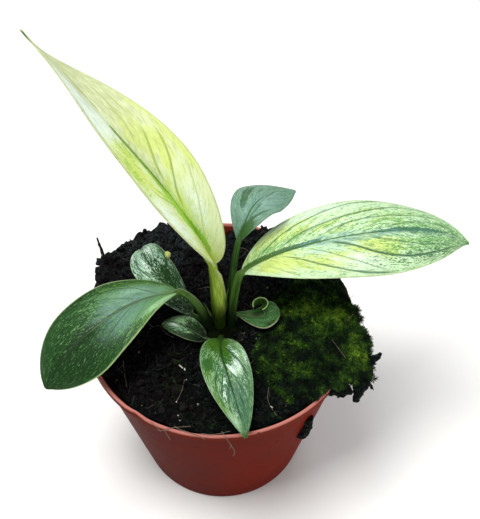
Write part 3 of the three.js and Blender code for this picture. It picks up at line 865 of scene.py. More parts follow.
SHOOTS = 3900
rng = np.random.default_rng(44)
angle = rng.uniform(0, 2 * math.pi, SHOOTS)
share = np.sqrt(rng.uniform(0.0, 1.04, SHOOTS))
x, y, z = moss_at(angle, np.minimum(share, 1.0))
out = np.stack([np.cos(angle) * share ** 4, np.sin(angle) * share ** 4, 0.9 + 0 * x], 1)
lean = unit(out + rng.normal(0, 0.35, out.shape))
side = unit(np.cross(lean, unit(rng.normal(size=lean.shape))))
turns = np.stack([side, np.cross(lean, side), lean], 2)
shoots = strewn(
    "moss_shoots", [modelled_shoot(s) for s in range(5)], np.stack([x, y, z], 1),
    rng.uniform(0.8, 2.1, SHOOTS), turns, rng.integers(0, 5, SHOOTS), rng.uniform(0, 1, SHOOTS),
)


# %% A thin dark film of moss spreads over the peat in front
FILM_SHOOTS = 2300
rng = np.random.default_rng(46)
spots = open_spots(rng, 9000, 1.0)
x, y = spots[:, 0], spots[:, 1]
wish = 0.9 * clods(x, y, 9.0, 47) + 0.5 * clods(x, y, 4.0, 48) - y / 34 + x / 60
spots = spots[np.argsort(-wish)[:FILM_SHOOTS]]
upright = unit(np.array([0, 0, 1.0]) + rng.normal(0, 0.4, spots.shape))
side = unit(np.cross(upright, unit(rng.normal(size=spots.shape))))
film = strewn(
    "moss_film", [modelled_shoot(s + 9, 5) for s in range(4)], spots,
    rng.uniform(0.5, 1.3, FILM_SHOOTS), np.stack([side, np.cross(upright, side), upright], 2),
    rng.integers(0, 4, FILM_SHOOTS), rng.uniform(0, 1, FILM_SHOOTS),
)


# %% Where the moss is bright
LIVELY = [
    (40, -2, 12, 5.5, 0.62), (50, -7, 9, 6.5, 0.55), (55, -4, 6, 4, 0.35), (59, -23, 5, 8, 0.62),
    (44, -11, 7, 4, 0.2), (33, -30, 4, 3, 0.3), (38, -21, 5, 2.5, 0.25), (26, -9, 6, 3, 0.1),
]


def paint_life(piece, ground_level):
    flat = np.zeros(len(piece.data.vertices) * 3, np.float32)
    piece.data.vertices.foreach_get("co", flat)
    x, y, _ = flat.reshape(-1, 3).T / MM
    set_field(piece, "lively", sum((oval(x, y, spot) for spot in LIVELY), ground_level + 0 * x))


# %% Moss finish
def moss_finish(name):
    """Bright yellow-green tufts in a much darker cushion: the field, broad noise and each shoot."""
    paint = Paint(name, 0.8, 0.12)
    spot = paint.place()
    cloud = paint.noise(spot, 170.0, 3.0, 0.6)
    fine = paint.noise(spot, 900.0, 2.0, 0.6)
    lively = paint.field("lively") * 0.62 + (cloud - 0.5) * 1.5 + paint.field("shade") * 0.25
    tone = paint.mix(lively.step(0.0, 0.45), rgb(9, 19, 12), rgb(36, 66, 18))
    tone = paint.mix((lively + (fine - 0.5) * 1.6).step(0.38, 0.85), tone, rgb(104, 138, 38))
    tone = paint.mix(fine.step(0.60, 0.72) * lively.step(0.3, 0.0) * 0.6, tone, rgb(34, 50, 44))
    return paint.finish(tone, height=fine, depth=0.0006)


for piece, level in ((moss, 0.12), (shoots, 0.12), (film, -0.1)):
    paint_life(piece, level)
moss.data.materials.append(moss_finish("moss_cushion"))
shoots.data.materials.append(moss_finish("moss_shoot"))
film.data.materials.append(moss_finish("moss_film"))
hand_over(moss, "moss_cushion", 40)
hand_over(shoots, "moss_cushion", 20)
hand_over(film, "soil", 20)

# %% [markdown]
# ## Hanging peat, the clod and the twig
#
# Torn tongues of peat and root hang under the moss, a damp clod clings to the wall, and a bit of
# twig stands at the back left. Each is a tapered rod that a Displace modifier roughens with cloud
# noise.


# %% Rough rods
def round_rod(name, path, radii, sides):
    """A closed tube along points in mm, with a radius at each; u runs along and v around."""
    path, radii = np.array(path, float), np.array(radii, float)
    ways = unit(np.gradient(path, axis=0))
    side = np.array([0.0, 1.0, 0.0])
    across, other = [], []
    for way in ways:
        side = unit(side - way * side.dot(way))
        across.append(side)
        other.append(np.cross(way, side))
    across, other = np.array(across), np.array(other)

    def place(u, v):
        row = np.round(u * (len(path) - 1)).astype(int)
        angle = v * 2 * math.pi
        ring = across[row] * np.cos(angle)[:, None] + other[row] * np.sin(angle)[:, None]
        return path[row] + ring * radii[row, None]

    rod, _, _ = shaped_grid(name, len(path) - 1, sides, place)
    return rod


def rough_rod(name, start, end, thick, thin, rough, seed, rows=16):
    share = np.linspace(0, 1, rows)
    path = np.outer(1 - share, start) + np.outer(share, end)
    rng = np.random.default_rng(seed)
    path += np.cumsum(rng.normal(0, 0.12, path.shape), 0) * rough
    radii = blend(thick, thin, share ** 0.8)
    radii[0] = radii[-1] = 0.001
    rod = round_rod(name, path, radii, 14)
    close_skin(rod, 0.00002)
    cloud = bpy.data.textures.new(name, "CLOUDS")
    cloud.noise_scale = 0.0022
    apply_modifier(rod, "SUBSURF", levels=1, render_levels=1)
    apply_modifier(rod, "DISPLACE", texture=cloud, strength=rough * MM * 1.8, mid_level=0.5,
                   texture_coords="LOCAL")
    return rod


TONGUES = [
    ((60.5, -32, 91), (58.8, -33.5, 76), 4.0, 1.0), ((62.5, -30.5, 90), (60.5, -32, 79), 2.6, 0.8),
    ((63.0, -27, 89), (68.0, -28, 77.5), 1.5, 0.25),
    ((63, -24.5, 91), (70.6, -18.4, 91.5), 2.6, 0.7),
    ((63, -22.5, 91), (66.3, -23.0, 88), 2.8, 1.6), ((56, -33, 89), (48.5, -36.5, 87), 3.6, 3.0),
    ((53, -31, 92), (45.5, -36.5, 90.5), 3.6, 2.6),
]
tongues = [
    rough_rod(f"tongue_{k}", start, end, thick, thin, 1.2, 60 + k)
    for k, (start, end, thick, thin) in enumerate(TONGUES)
]
hanging = joined(tongues, "hanging_peat")
hanging.data.materials.append(peat.data.materials[0])
hand_over(hanging, "moss_cushion", 40)

CLOD_ANGLE = math.radians(-44.5)


def on_wall(z):
    radius = outside_radius(z) + 0.7
    return (radius * math.cos(CLOD_ANGLE), radius * math.sin(CLOD_ANGLE), z)


clod = rough_rod("stuck_clod", on_wall(74), on_wall(52.5), 1.4, 3.2, 1.3, 70, 22)
clod.data.materials.append(peat.data.materials[0])
hand_over(clod, "peat_clod", 40)
twig = rough_rod("broken_twig", (-54, 30, 97), (-56.8, 32, 113), 1.15, 0.35, 0.5, 71)
twig.data.materials.append(tinted_finish("twig_bark", rgb(30, 24, 20), rgb(78, 62, 50), 0.8))
hand_over(twig, "soil", 40)

# %% [markdown]
# ## Single roots and bits
#
# A few roots catch the eye: they lie over the front lip, hang down the wall and run over the peat,
# and some pale slivers lie between them. Each is a thin tube along a rounded line through a few
# places. Where only x and y are given, the ground's height is filled in.

# %% Where the single roots lie
LIP_ROOTS = [
    [(-24.1, -57.2, 94.1), (-20.7, -57.5, 94.3), (-18.8, -56, 94.1), (-15.4, -55.6, 94),
     (-9.8, -55, 93.4)],
    [(-20, -56, 94), (-21.2, -57.2, 93.6), (-20.3, -57.6, 91.2), (-19.4, -57.4, 86.6)],
    [(-17.5, -55, 93.8), (-15.4, -57, 94.3), (-8.6, -59, 94.1), (-5.1, -60.4, 92.6)],
    [(-27, -53, 93.6), (-24.6, -55.6, 94.2), (-22.8, -57, 92.8)],
    [(-6.5, -58.6, 94), (-2.4, -59.2, 94.1), (1, -58.6, 94), (5, -57, 93.2)],
    [(1.6, -57.4, 93.8), (3.4, -60.2, 93.9), (4.3, -60.7, 91.5), (5.4, -60, 87.4), (6.6, -59.2, 82),
     (6.9, -58.8, 78.3), (6, -58.1, 74.6)],
    [(4.6, -60.7, 90.6), (5.6, -60.4, 87.6), (4.9, -60, 84.4)],
]
GROUND_ROOTS = [
    [(-14.1, -34.6), (-15.1, -40.2), (-17.1, -44.3)], [(27.8, -45.6), (30.3, -41.5)],
    [(15.3, -30.1), (17.2, -31.5), (19.3, -29.1)], [(13, -27), (16, -25), (18, -28.5)],
    [(5.6, -12), (8, -10.6), (10.8, -12.6)], [(11, -11.6), (10.6, -13.5), (9.4, -15.2)],
    [(24, -50), (20, -44), (21, -38)], [(-41, -24), (-40, -30), (-38.5, -36)],
]
PALE_BITS = [
    [(-13.8, -33.9), (-12.6, -35.7)], [(-16.8, -27.6), (-14.9, -29)],
    [(-17.1, -44), (-17.2, -45.4)],
    [(-16.3, -49.8), (-15.4, -52.1)], [(21.5, -32.6), (20.8, -35.3)], [(21.5, -46.8), (22.3, -47)],
    [(-38, -6), (-36.6, -6.5)],
]
MOSS_ROOTS = [[(48, -18.5), (51, -23), (53.2, -27.7)], [(55.5, -8.4), (58.3, -5.6)]]


# %% Tubes along the rounded lines
def thin_tube(name, points, radius, lift=0.5):
    if len(points[0]) == 2:
        points = [(x, y, float(ground(np.float64(x), np.float64(y))) + lift) for x, y in points]
    line = rounded(points)
    radii = np.full(len(line), radius)
    radii[0] = radii[-1] = radius * 0.3
    tube = round_rod(name, line, radii, 6)
    close_skin(tube, 0.00001)
    apply_modifier(tube, "TRIANGULATE")
    return tube


single = [thin_tube("root", line, 0.13) for line in LIP_ROOTS]
single += [thin_tube("root", line, 0.12, 0.9) for line in GROUND_ROOTS]
single += [thin_tube("root", line, 0.12, MOSS_DEPTH + 1.5) for line in MOSS_ROOTS]
single_roots = joined(single, "single_roots")
root_skin = tinted_finish("single_root", rgb(104, 92, 78), rgb(168, 152, 130), 0.6)
single_roots.data.materials.append(root_skin)
pale_bits = joined([thin_tube("bit", line, 0.27, 0.8) for line in PALE_BITS], "pale_bits")
bit_skin = tinted_finish("pale_bit", rgb(196, 190, 176), rgb(222, 220, 212), 0.5)
pale_bits.data.materials.append(bit_skin)
hand_over(single_roots, "soil", 60)
hand_over(pale_bits, "soil", 60)

# %% [markdown]
# ## The leaves
#
# A leaf is an arched sheet about a curved midrib. The numbers below are the ones in the CAD source:
# the stem's curve, the midrib's curve, how the blade rolls about it, its greatest half widths, and
# the angle at which each half leaves the midrib (fold) and bends on (curl). One function turns them
# into points, and adds what the solid leaves out: the groove over the midrib and the soft ripples
# between the side veins. A Solidify modifier then gives the sheet its thickness.

# %% Leaf shapes
LEAVES = {
    "leaf_tall_pale": dict(
        stem=[(0, -8.5, 86), (0.7, -8.6, 104), (-0.6, -7, 120)], stem_radius=(2.2, 3, 1.7),
        blade=[(-2.2, -4.6, 135), (-11.6, -7.3, 178), (-41.5, 10.8, 198), (-60, 2.5, 239)],
        roll=(-48, 18), width=(16.2, 15.8), widest=0.38, taper=1.7, fold=(76, 0),
        curl=(-11, -9), rows=150, columns=56, ripples=(4, 0.06), veins=(0.9, 0.05, 0.1),
        slot="leaf_pale",
    ),
    "leaf_right_striped": dict(
        stem=[(4.8, -9.5, 86), (5.1, -8.9, 104), (5.8, -6.5, 118)], stem_radius=(1.7, 1.8, 1.6),
        blade=[(9, -3.7, 128), (29, 6, 141), (90, 19.2, 140), (107, 13.5, 128.4)],
        roll=(3, 4), width=(20.8, 21.2), widest=0.51, taper=2, fold=(18, -3),
        curl=(-28, -30), rows=150, columns=60, ripples=(4.5, 0.10), veins=(1.25, 0.03, 0.25),
        slot="leaf_striped",
    ),
    "leaf_back_grey": dict(
        stem=[(3, -4.2, 86), (3.8, -3, 104), (5.5, 2.3, 122)], stem_radius=(1.5, 1.6, 1.2),
        blade=[(8.2, 4.8, 138), (13.3, 14.6, 151), (15.2, 25, 148), (33, 34, 140)],
        roll=(1.6, 0), width=(10.7, 10.5), widest=0.58, taper=1.57, fold=(36, -11),
        curl=(-21, -25), rows=90, columns=44, ripples=(4, 0.07), veins=(1.0, 0.1, 0.1),
        slot="leaf_grey",
    ),
    "leaf_left_dark": dict(
        stem=[(-5, -10.2, 86), (-3.2, -11, 106), (-9, -8.6, 118)], stem_radius=(1.9, 2, 1.6),
        blade=[(-16, -8, 122), (-37, -9.3, 122), (-59, -26.3, 116.4), (-71.3, -39.6, 98)],
        roll=(9, -5), width=(18.6, 18.6), widest=0.59, taper=1.65, fold=(21, 2),
        curl=(-26, -22), rows=130, columns=60, ripples=(5, 0.05), veins=(1.2, 0.15, 0.2),
        slot="leaf_dark",
    ),
    "leaf_notched": dict(
        stem=[(-3.2, -4.8, 86), (-4.2, -5.2, 98), (-7, -6.8, 100.5)],
        stem_radius=(1.4, 1.5, 1.1),
        blade=[(-10.6, -6, 102.6), (-19.3, -1, 115), (-32.7, 10.9, 123.8), (-32.8, 10.9, 127.2)],
        roll=(10, -12), width=(9.3, 10.1), widest=0.6, taper=1.28, fold=(-1, -9),
        curl=(-31, -24), rows=80, columns=44, ripples=(4, 0.08), veins=(1.1, 0.1, 0.2),
        slot="leaf_streaked",
    ),
    "leaf_small_left": dict(
        stem=[(-3.2, -14.2, 86), (-3.2, -15, 97), (-4, -16, 99)], stem_radius=(1.2, 1.2, 0.9),
        blade=[(-5.3, -16.3, 100), (-12, -15, 105.6), (-18, -11.4, 107.3), (-25, -9.2, 101.8)],
        roll=(0, 2), width=(5.5, 5.8), widest=0.47, taper=1.14, fold=(15, 1),
        curl=(-29, -20), rows=60, columns=36, ripples=(3, 0.06), veins=(1.1, 0.1, 0.2),
        slot="leaf_streaked",
    ),
    "leaf_front": dict(
        stem=[(0.8, -13.6, 86), (0.9, -14.5, 98), (0.8, -16.5, 102)], stem_radius=(1.6, 1.6, 1.2),
        blade=[(0.9, -19, 103.8), (0.3, -37, 112.8), (8.5, -50.5, 110.8), (11.2, -62.1, 96.6)],
        roll=(0, -4), width=(10.1, 9.9), widest=0.36, taper=1.3, fold=(22, 1),
        curl=(-21, -17), rows=100, columns=48, ripples=(4, 0.08), veins=(1.1, 0.1, 0.2),
        slot="leaf_streaked",
    ),
    "leaf_curled": dict(
        stem=[(6.5, -5.5, 86), (6.8, -5, 96), (6.5, -4.3, 100.5)], stem_radius=(1.1, 1.1, 0.9),
        blade=[(6.2, -3.6, 102.5), (20, -7.4, 101.6), (18, -6.5, 103.7), (26, -5.5, 105.5)],
        roll=(-8, -2), width=(7.9, 7.2), widest=0.67, taper=1.3, fold=(-1, 13),
        curl=(-21, -12), rows=70, columns=44, ripples=(3, 0.06), veins=(1.1, 0.1, 0.2),
        slot="leaf_streaked",
    ),
}


# %% Where a point of a blade is
def rib_frame(leaf, share):
    """The midrib's places, its upward normals and the way to its right."""
    place, along = bezier(leaf["blade"], share)
    normal = unit(np.array([0, 0, 1.0]) - along * along[:, 2:3])
    angle = np.radians(blend(leaf["roll"][0], leaf["roll"][1], share))[:, None]
    normal = normal * np.cos(angle) + np.cross(along, normal) * np.sin(angle)
    return place, normal, np.cross(along, normal)


def half_width(leaf, greatest, share):
    m, k = leaf["widest"], leaf["taper"]
    rise = (np.clip(share, 0, 1) / m) ** (k * m)
    fall = (np.clip(1 - share, 0, 1) / (1 - m)) ** (k * (1 - m))
    return np.maximum(greatest * rise * fall, 0.3)


def vein_number(leaf, share, across):
    """A number that stays the same along a side vein. Veins leave the midrib more steeply near the
    foot and run nearly along it near the tip, which a logarithm of the place along it gives."""
    lean, start, sweep = leaf["veins"]
    reach = np.abs(across)
    return np.log(share + start) - lean * reach - sweep * reach ** 5


def blade_points(leaf, share, across):
    """The blade's upper face in mm. across runs from -1 at the left edge to 1 at the right."""
    place, normal, right = rib_frame(leaf, share)
    side = np.where(across < 0, -1.0, 1.0)
    reach = np.abs(across)
    width = half_width(leaf, np.where(across < 0, leaf["width"][0], leaf["width"][1]), share)
    fold = np.radians(blend(leaf["fold"][0], leaf["fold"][1], share))
    curl = np.radians(np.where(across < 0, leaf["curl"][0], leaf["curl"][1]))
    angle = fold + curl * reach
    out = width * (np.sin(angle) - np.sin(fold)) / curl
    rise = width * (np.cos(fold) - np.cos(angle)) / curl
    count, depth = leaf["ripples"]
    wave = np.cos(vein_number(leaf, share, across) * count * 2 * math.pi)
    body = smooth(0.04, 0.2, reach) * smooth(1.0, 0.8, reach) * smooth(0, 0.12, share)
    groove = 0.45 * np.exp(-((reach * width / 0.8) ** 2)) * smooth(0.9, 0.5, share)
    lift = depth * wave * body - groove
    sway = 0.35 * np.sin(share * 17 + side) * smooth(0.6, 1.0, reach) * smooth(0, 0.2, share)
    rise = rise + lift + sway * width / 20
    return place + right * (side * out)[:, None] + normal * rise[:, None]


# %% The stem runs on under the blade as its midrib
RIB_REACH = 0.82
STEM_ROWS = 34
RIB_ROWS = 46


def stem_path(leaf):
    """Centres and radii from the foot in the crown to where the midrib fades, in mm."""
    share = np.linspace(0, 1, STEM_ROWS, endpoint=False)
    path, _ = bezier([*leaf["stem"], leaf["blade"][0]], share)
    foot, middle, neck = leaf["stem_radius"]
    radii = np.interp(share, [0, 0.5, 1], [foot, middle, neck])
    rib_share = np.linspace(0, RIB_REACH, RIB_ROWS)
    place, normal, _ = rib_frame(leaf, rib_share)
    rib_radii = blend(neck, 0.35, (rib_share / RIB_REACH) ** 0.8)
    sunk = smooth(0, 0.05, rib_share)
    rib = place - normal * ((rib_radii * 0.9 + 0.35) * sunk)[:, None]
    return np.concatenate([path, rib]), np.concatenate([radii, rib_radii])


def grown_leaf(name):
    """Blade and stem of one leaf. Their soft colour fields are painted later."""
    leaf = LEAVES[name]
    blade, u, v = shaped_grid(
        name + "_blade", leaf["rows"], leaf["columns"],
        lambda u, v: blade_points(leaf, u, 1 - 2 * v),
    )
    paint_fields(blade, leaf, u, 1 - 2 * v)
    apply_modifier(blade, "SOLIDIFY", thickness=0.55 * MM, offset=-1)
    path, radii = stem_path(leaf)
    radii[0] = radii[-1] = 0.01
    stem = round_rod(name + "_stem", path, radii, 18)
    close_skin(stem, 0.00002)
    return blade, stem


# %% [markdown]
# ### Painting the leaves
#
# Variegation has two scales. Broad soft zones, pale here and green there, are painted as fields:
# one number per vertex, summed from soft ovals placed in leaf coordinates. Fine streaks are made in
# the material, by noise that is stretched along the side veins, and the fields only decide how much
# of the noise turns green. Single dark veins that the eye picks out are strokes: a Float Curve node
# bends a line to the points given, so the line stays sharp however near the camera comes. One of
# the fields is painted light and not the leaf's colour: a bluish painted sheen where the glossy
# leaves reflect the sky, and on the tall pale leaf a painted shade.

# %% Fields from soft ovals and bands
# The last field is painted light, not the leaf's colour: a bluish painted sheen where the glossy
# blade reflects the sky, and painted shade on the tall pale leaf.
FIELD_NAMES = ("green", "deep", "yellow", "white", "sheen")


def band(u, v, stops, strength):
    """A soft band through stops of (u, v, half width)."""
    us, vs, widths = np.array(stops, float).T
    middle, width = np.interp(u, us, vs), np.interp(u, us, widths)
    inside = smooth(us[0] - 0.03, us[0] + 0.02, u) * smooth(us[-1] + 0.02, us[-1] - 0.01, u)
    return strength * inside * smooth(1.3, 0.7, np.abs(v - middle) / width)


def paint_fields(blade, leaf, u, v):
    look = leaf["look"]
    for name in FIELD_NAMES:
        total = np.full(len(u), look.get(name + "_ground", 0.0))
        for spot in look.get(name, []):
            total = total + oval(u, v, spot)
        for stops, strength in look.get(name + "_bands", []):
            total = total + band(u, v, stops, strength)
        set_field(blade, name, np.clip(total, 0, 1))


# %% [markdown]
# ### What each leaf looks like
#
# Every leaf of this plant differs. Each entry gives the leaf's tones, its soft zones in leaf
# coordinates (u from foot to tip, v from -1 at the left edge to 1 at the right) and its strokes.

# %% The tall pale leaf
LEAVES["leaf_tall_pale"]["look"] = dict(
    pale=rgb(226, 238, 190), yellow_tone=rgb(216, 232, 132), white_tone=rgb(238, 252, 240),
    green_tone=rgb(158, 206, 70), deep_tone=rgb(84, 132, 60), foot_tone=rgb(160, 190, 62),
    painted_light_tone=rgb(190, 198, 150), edge_tone=rgb(172, 184, 120), vein_tone=rgb(156, 176, 76),
    streak=0.8, hairs=0.35, gloss=0.42, shine=0.3,
    green_ground=0.10,
    green=[(0.5, -0.82, 0.12, 0.2, 0.4), (0.56, -0.4, 0.1, 0.25, 0.35), (0.14, 0.2, 0.08, 0.2, 0.4),
           (0.36, -0.4, 0.08, 0.15, 0.3)],
    green_bands=[([(0.08, 0.24, 0.08), (0.13, 0.12, 0.1), (0.18, -0.1, 0.18), (0.25, -0.16, 0.17),
                   (0.33, -0.13, 0.14), (0.45, -0.1, 0.1), (0.63, -0.08, 0.08)], 0.85)],
    deep=[(0.985, 0, 0.04, 1.2, 1.0)],
    deep_bands=[([(0.34, -0.06, 0.04), (0.42, -0.07, 0.06), (0.5, -0.08, 0.08), (0.57, -0.08, 0.09),
                  (0.635, -0.09, 0.09)], 0.95)],
    yellow_ground=0.2,
    yellow=[(0.0, 0.0, 0.1, 1.6, 0.7), (0.14, -0.4, 0.1, 0.6, 0.4), (0.5, -0.6, 0.16, 0.4, 0.7),
            (0.5, 0.5, 0.14, 0.35, 0.55), (0.3, 0.1, 0.12, 0.2, 0.5), (0.56, 0.25, 0.08, 0.2, 0.5),
            (0.5, 0.96, 0.18, 0.12, 0.8)],
    white=[(0.76, -0.5, 0.2, 0.8, 1.0), (0.3, -0.8, 0.2, 0.3, 0.7), (0.26, 0.5, 0.14, 0.3, 0.6),
           (0.66, -0.2, 0.08, 0.2, 0.7), (0.2, -0.45, 0.08, 0.2, 0.4)],
    # Painted shade: a darker beige over the upper part of the right half.
    sheen=[(0.72, 0.5, 0.26, 0.8, 0.9), (0.45, 0.95, 0.2, 0.3, 0.4), (0.85, 0.5, 0.2, 0.8, 0.6),
           (0.5, 0.15, 0.14, 0.2, 0.3)],
    strokes=[
        ([(0.13, 0.22), (0.18, 0.35), (0.25, 0.52), (0.33, 0.68), (0.42, 0.82)], 0.018, 0.5),
        ([(0.27, 0.1), (0.33, 0.2), (0.39, 0.38), (0.45, 0.58), (0.55, 0.82)], 0.024, 0.95),
        ([(0.38, 0.1), (0.43, 0.16), (0.49, 0.32), (0.54, 0.48), (0.58, 0.6)], 0.026, 0.9),
        ([(0.53, 0.12), (0.58, 0.26), (0.66, 0.42), (0.75, 0.58)], 0.018, 0.55),
        ([(0.61, 0.55), (0.67, 0.66), (0.74, 0.8)], 0.018, 0.5),
        ([(0.3, -0.2), (0.34, -0.38), (0.39, -0.58), (0.44, -0.68)], 0.022, 0.7),
        ([(0.5, -0.6), (0.56, -0.75), (0.62, -0.84)], 0.018, 0.5),
        ([(0.5, -0.85), (0.58, -0.93), (0.72, -0.94), (0.8, -0.93)], 0.018, 0.6),
        ([(0.68, 0.04), (0.76, 0.08), (0.82, 0.14), (0.86, 0.26), (0.885, 0.45)], 0.018, 0.7),
    ],
)

# %% The striped leaf on the right
LEAVES["leaf_right_striped"]["look"] = dict(
    pale=rgb(204, 234, 190), yellow_tone=rgb(202, 222, 124), white_tone=rgb(220, 244, 220),
    green_tone=rgb(118, 172, 102), deep_tone=rgb(56, 106, 72), foot_tone=rgb(58, 98, 12),
    painted_light_tone=rgb(112, 158, 148), edge_tone=rgb(176, 196, 140), vein_tone=rgb(56, 100, 66),
    streak=1.0, hairs=0.6, gloss=0.4, shine=0.25,
    green_ground=0.27,
    green=[(0.95, 0, 0.36, 1.4, 0.36), (0.6, -0.2, 0.25, 0.35, 0.14), (0.72, 0.45, 0.25, 0.4, 0.14),
           (0.1, -0.4, 0.1, 0.5, 0.25), (0.22, -0.25, 0.14, 0.2, 0.3),
           (0.48, 0.65, 0.12, 0.3, -0.2),
           (0.3, -0.85, 0.2, 0.2, -0.2), (0.14, 0.6, 0.12, 0.4, -0.25)],
    deep_ground=0.12,
    deep=[(0.0, -0.3, 0.06, 0.6, 0.8), (0.92, 0.1, 0.24, 1.2, 0.3), (0.68, 0.75, 0.24, 0.2, 0.3),
          (0.72, 0, 0.2, 0.12, 0.4), (0.6, 0.4, 0.2, 0.3, 0.12)],
    deep_bands=[([(0.0, -0.3, 0.3), (0.08, -0.16, 0.13), (0.15, -0.08, 0.08), (0.25, -0.03, 0.07),
                  (0.36, 0.0, 0.07)], 0.9),
                ([(0.56, 0.0, 0.03), (0.65, -0.03, 0.06), (0.82, -0.02, 0.04)], 0.55)],
    yellow_ground=0.24,
    yellow=[(0.17, 0.4, 0.12, 0.5, 0.75), (0.15, -0.6, 0.2, 0.5, 0.5), (0.55, 0.35, 0.12, 0.3, 0.7),
            (0.36, 0.6, 0.1, 0.25, 0.6), (0.5, -0.35, 0.3, 0.35, 0.2)],
    white=[(0.47, 0.65, 0.16, 0.35, 0.6), (0.36, -0.85, 0.3, 0.2, 0.6),
           (0.75, -0.35, 0.1, 0.12, 0.8),
           (0.3, 0.3, 0.08, 0.2, 0.5), (0.66, 0.2, 0.1, 0.12, 0.7), (0.5, -0.5, 0.16, 0.2, 0.4)],
    # Painted sheen: a teal band along the midrib and two spots, where the glossy blade reflects the
    # sky.
    sheen_bands=[([(0.28, 0.0, 0.06), (0.36, 0.03, 0.13), (0.45, 0.05, 0.16), (0.55, 0.06, 0.11),
                   (0.64, 0.04, 0.07)], 0.95)],
    sheen=[(0.75, 0.05, 0.14, 0.16, 0.4), (0.4, 0.25, 0.1, 0.15, 0.4)],
    strokes=[
        ([(0.2, 0.16), (0.25, 0.36), (0.3, 0.56), (0.37, 0.74), (0.45, 0.88), (0.6, 0.95)],
         0.024, 0.9),
        ([(0.38, 0.08), (0.45, 0.24), (0.5, 0.4), (0.55, 0.53), (0.61, 0.62), (0.7, 0.68),
          (0.92, 0.62)], 0.03, 1.0),
        ([(0.11, 0.18), (0.13, 0.36), (0.16, 0.6), (0.2, 0.8), (0.26, 0.96)], 0.018, 0.55),
        ([(0.29, 0.1), (0.36, 0.34), (0.43, 0.56), (0.5, 0.76), (0.58, 0.93)], 0.018, 0.6),
        ([(0.52, 0.1), (0.62, 0.28), (0.74, 0.42), (0.88, 0.46)], 0.022, 0.6),
        ([(0.12, -0.22), (0.18, -0.45), (0.26, -0.6), (0.38, -0.74), (0.5, -0.88), (0.64, -0.98)],
         0.02, 0.8),
        ([(0.2, -0.12), (0.3, -0.34), (0.42, -0.46), (0.55, -0.6), (0.7, -0.8), (0.78, -0.9)],
         0.022, 0.8),
        ([(0.36, -0.1), (0.46, -0.3), (0.6, -0.42), (0.72, -0.5), (0.88, -0.7)], 0.02, 0.7),
        ([(0.58, -0.08), (0.7, -0.24), (0.82, -0.34), (0.94, -0.42)], 0.022, 0.6),
    ],
)

# %% The leaf at the back, grey-green by a painted reflection of the sky
LEAVES["leaf_back_grey"]["look"] = dict(
    # This leaf's grey-blue tones are a painted reflection: a glossy dark green blade mirrors the
    # sky at a grazing angle. Its dark bands and strokes are its own.
    pale=rgb(124, 160, 138), yellow_tone=rgb(104, 142, 104), white_tone=rgb(142, 176, 164),
    green_tone=rgb(90, 130, 108), deep_tone=rgb(62, 98, 66), foot_tone=rgb(58, 98, 44),
    painted_light_tone=rgb(120, 158, 152), edge_tone=rgb(96, 110, 92), vein_tone=rgb(64, 98, 76),
    streak=0.6, hairs=0.5, gloss=0.4, shine=0.2,
    green_ground=0.5,
    deep=[(0.0, 0.2, 0.16, 1.4, 0.9), (0.16, 0.45, 0.14, 0.6, 0.85), (0.95, -0.6, 0.2, 0.6, 0.4)],
    deep_bands=[([(0.33, -0.42, 0.1), (0.38, -0.44, 0.16), (0.47, -0.52, 0.18), (0.58, -0.62, 0.18),
                  (0.66, -0.7, 0.12)], 0.7),
                ([(0.24, 0.3, 0.1), (0.32, 0.5, 0.09), (0.42, 0.7, 0.08)], 0.7)],
    yellow=[(0.2, 0.35, 0.08, 0.25, 0.8), (0.9, -0.5, 0.2, 0.6, 0.5)],
    white=[(0.55, 0.3, 0.25, 0.4, 0.6), (0.3, -0.15, 0.12, 0.2, 0.7), (0.25, -0.75, 0.2, 0.2, 0.4)],
    # Painted sheen: bluish patches on top of that.
    sheen=[(0.6, 0.4, 0.3, 0.5, 0.6), (0.25, -0.3, 0.16, 0.3, 0.5), (0.45, -0.1, 0.2, 0.2, 0.4)],
    strokes=[
        ([(0.24, 0.18), (0.33, 0.22), (0.42, 0.24), (0.52, 0.2)], 0.045, 0.85),
        ([(0.22, 0.3), (0.3, 0.45), (0.38, 0.62), (0.48, 0.76)], 0.04, 0.8),
        ([(0.62, -0.28), (0.7, -0.38), (0.78, -0.5)], 0.03, 0.7),
        ([(0.62, 0.1), (0.72, 0.04), (0.8, -0.05), (0.9, -0.16)], 0.03, 0.8),
    ],
)

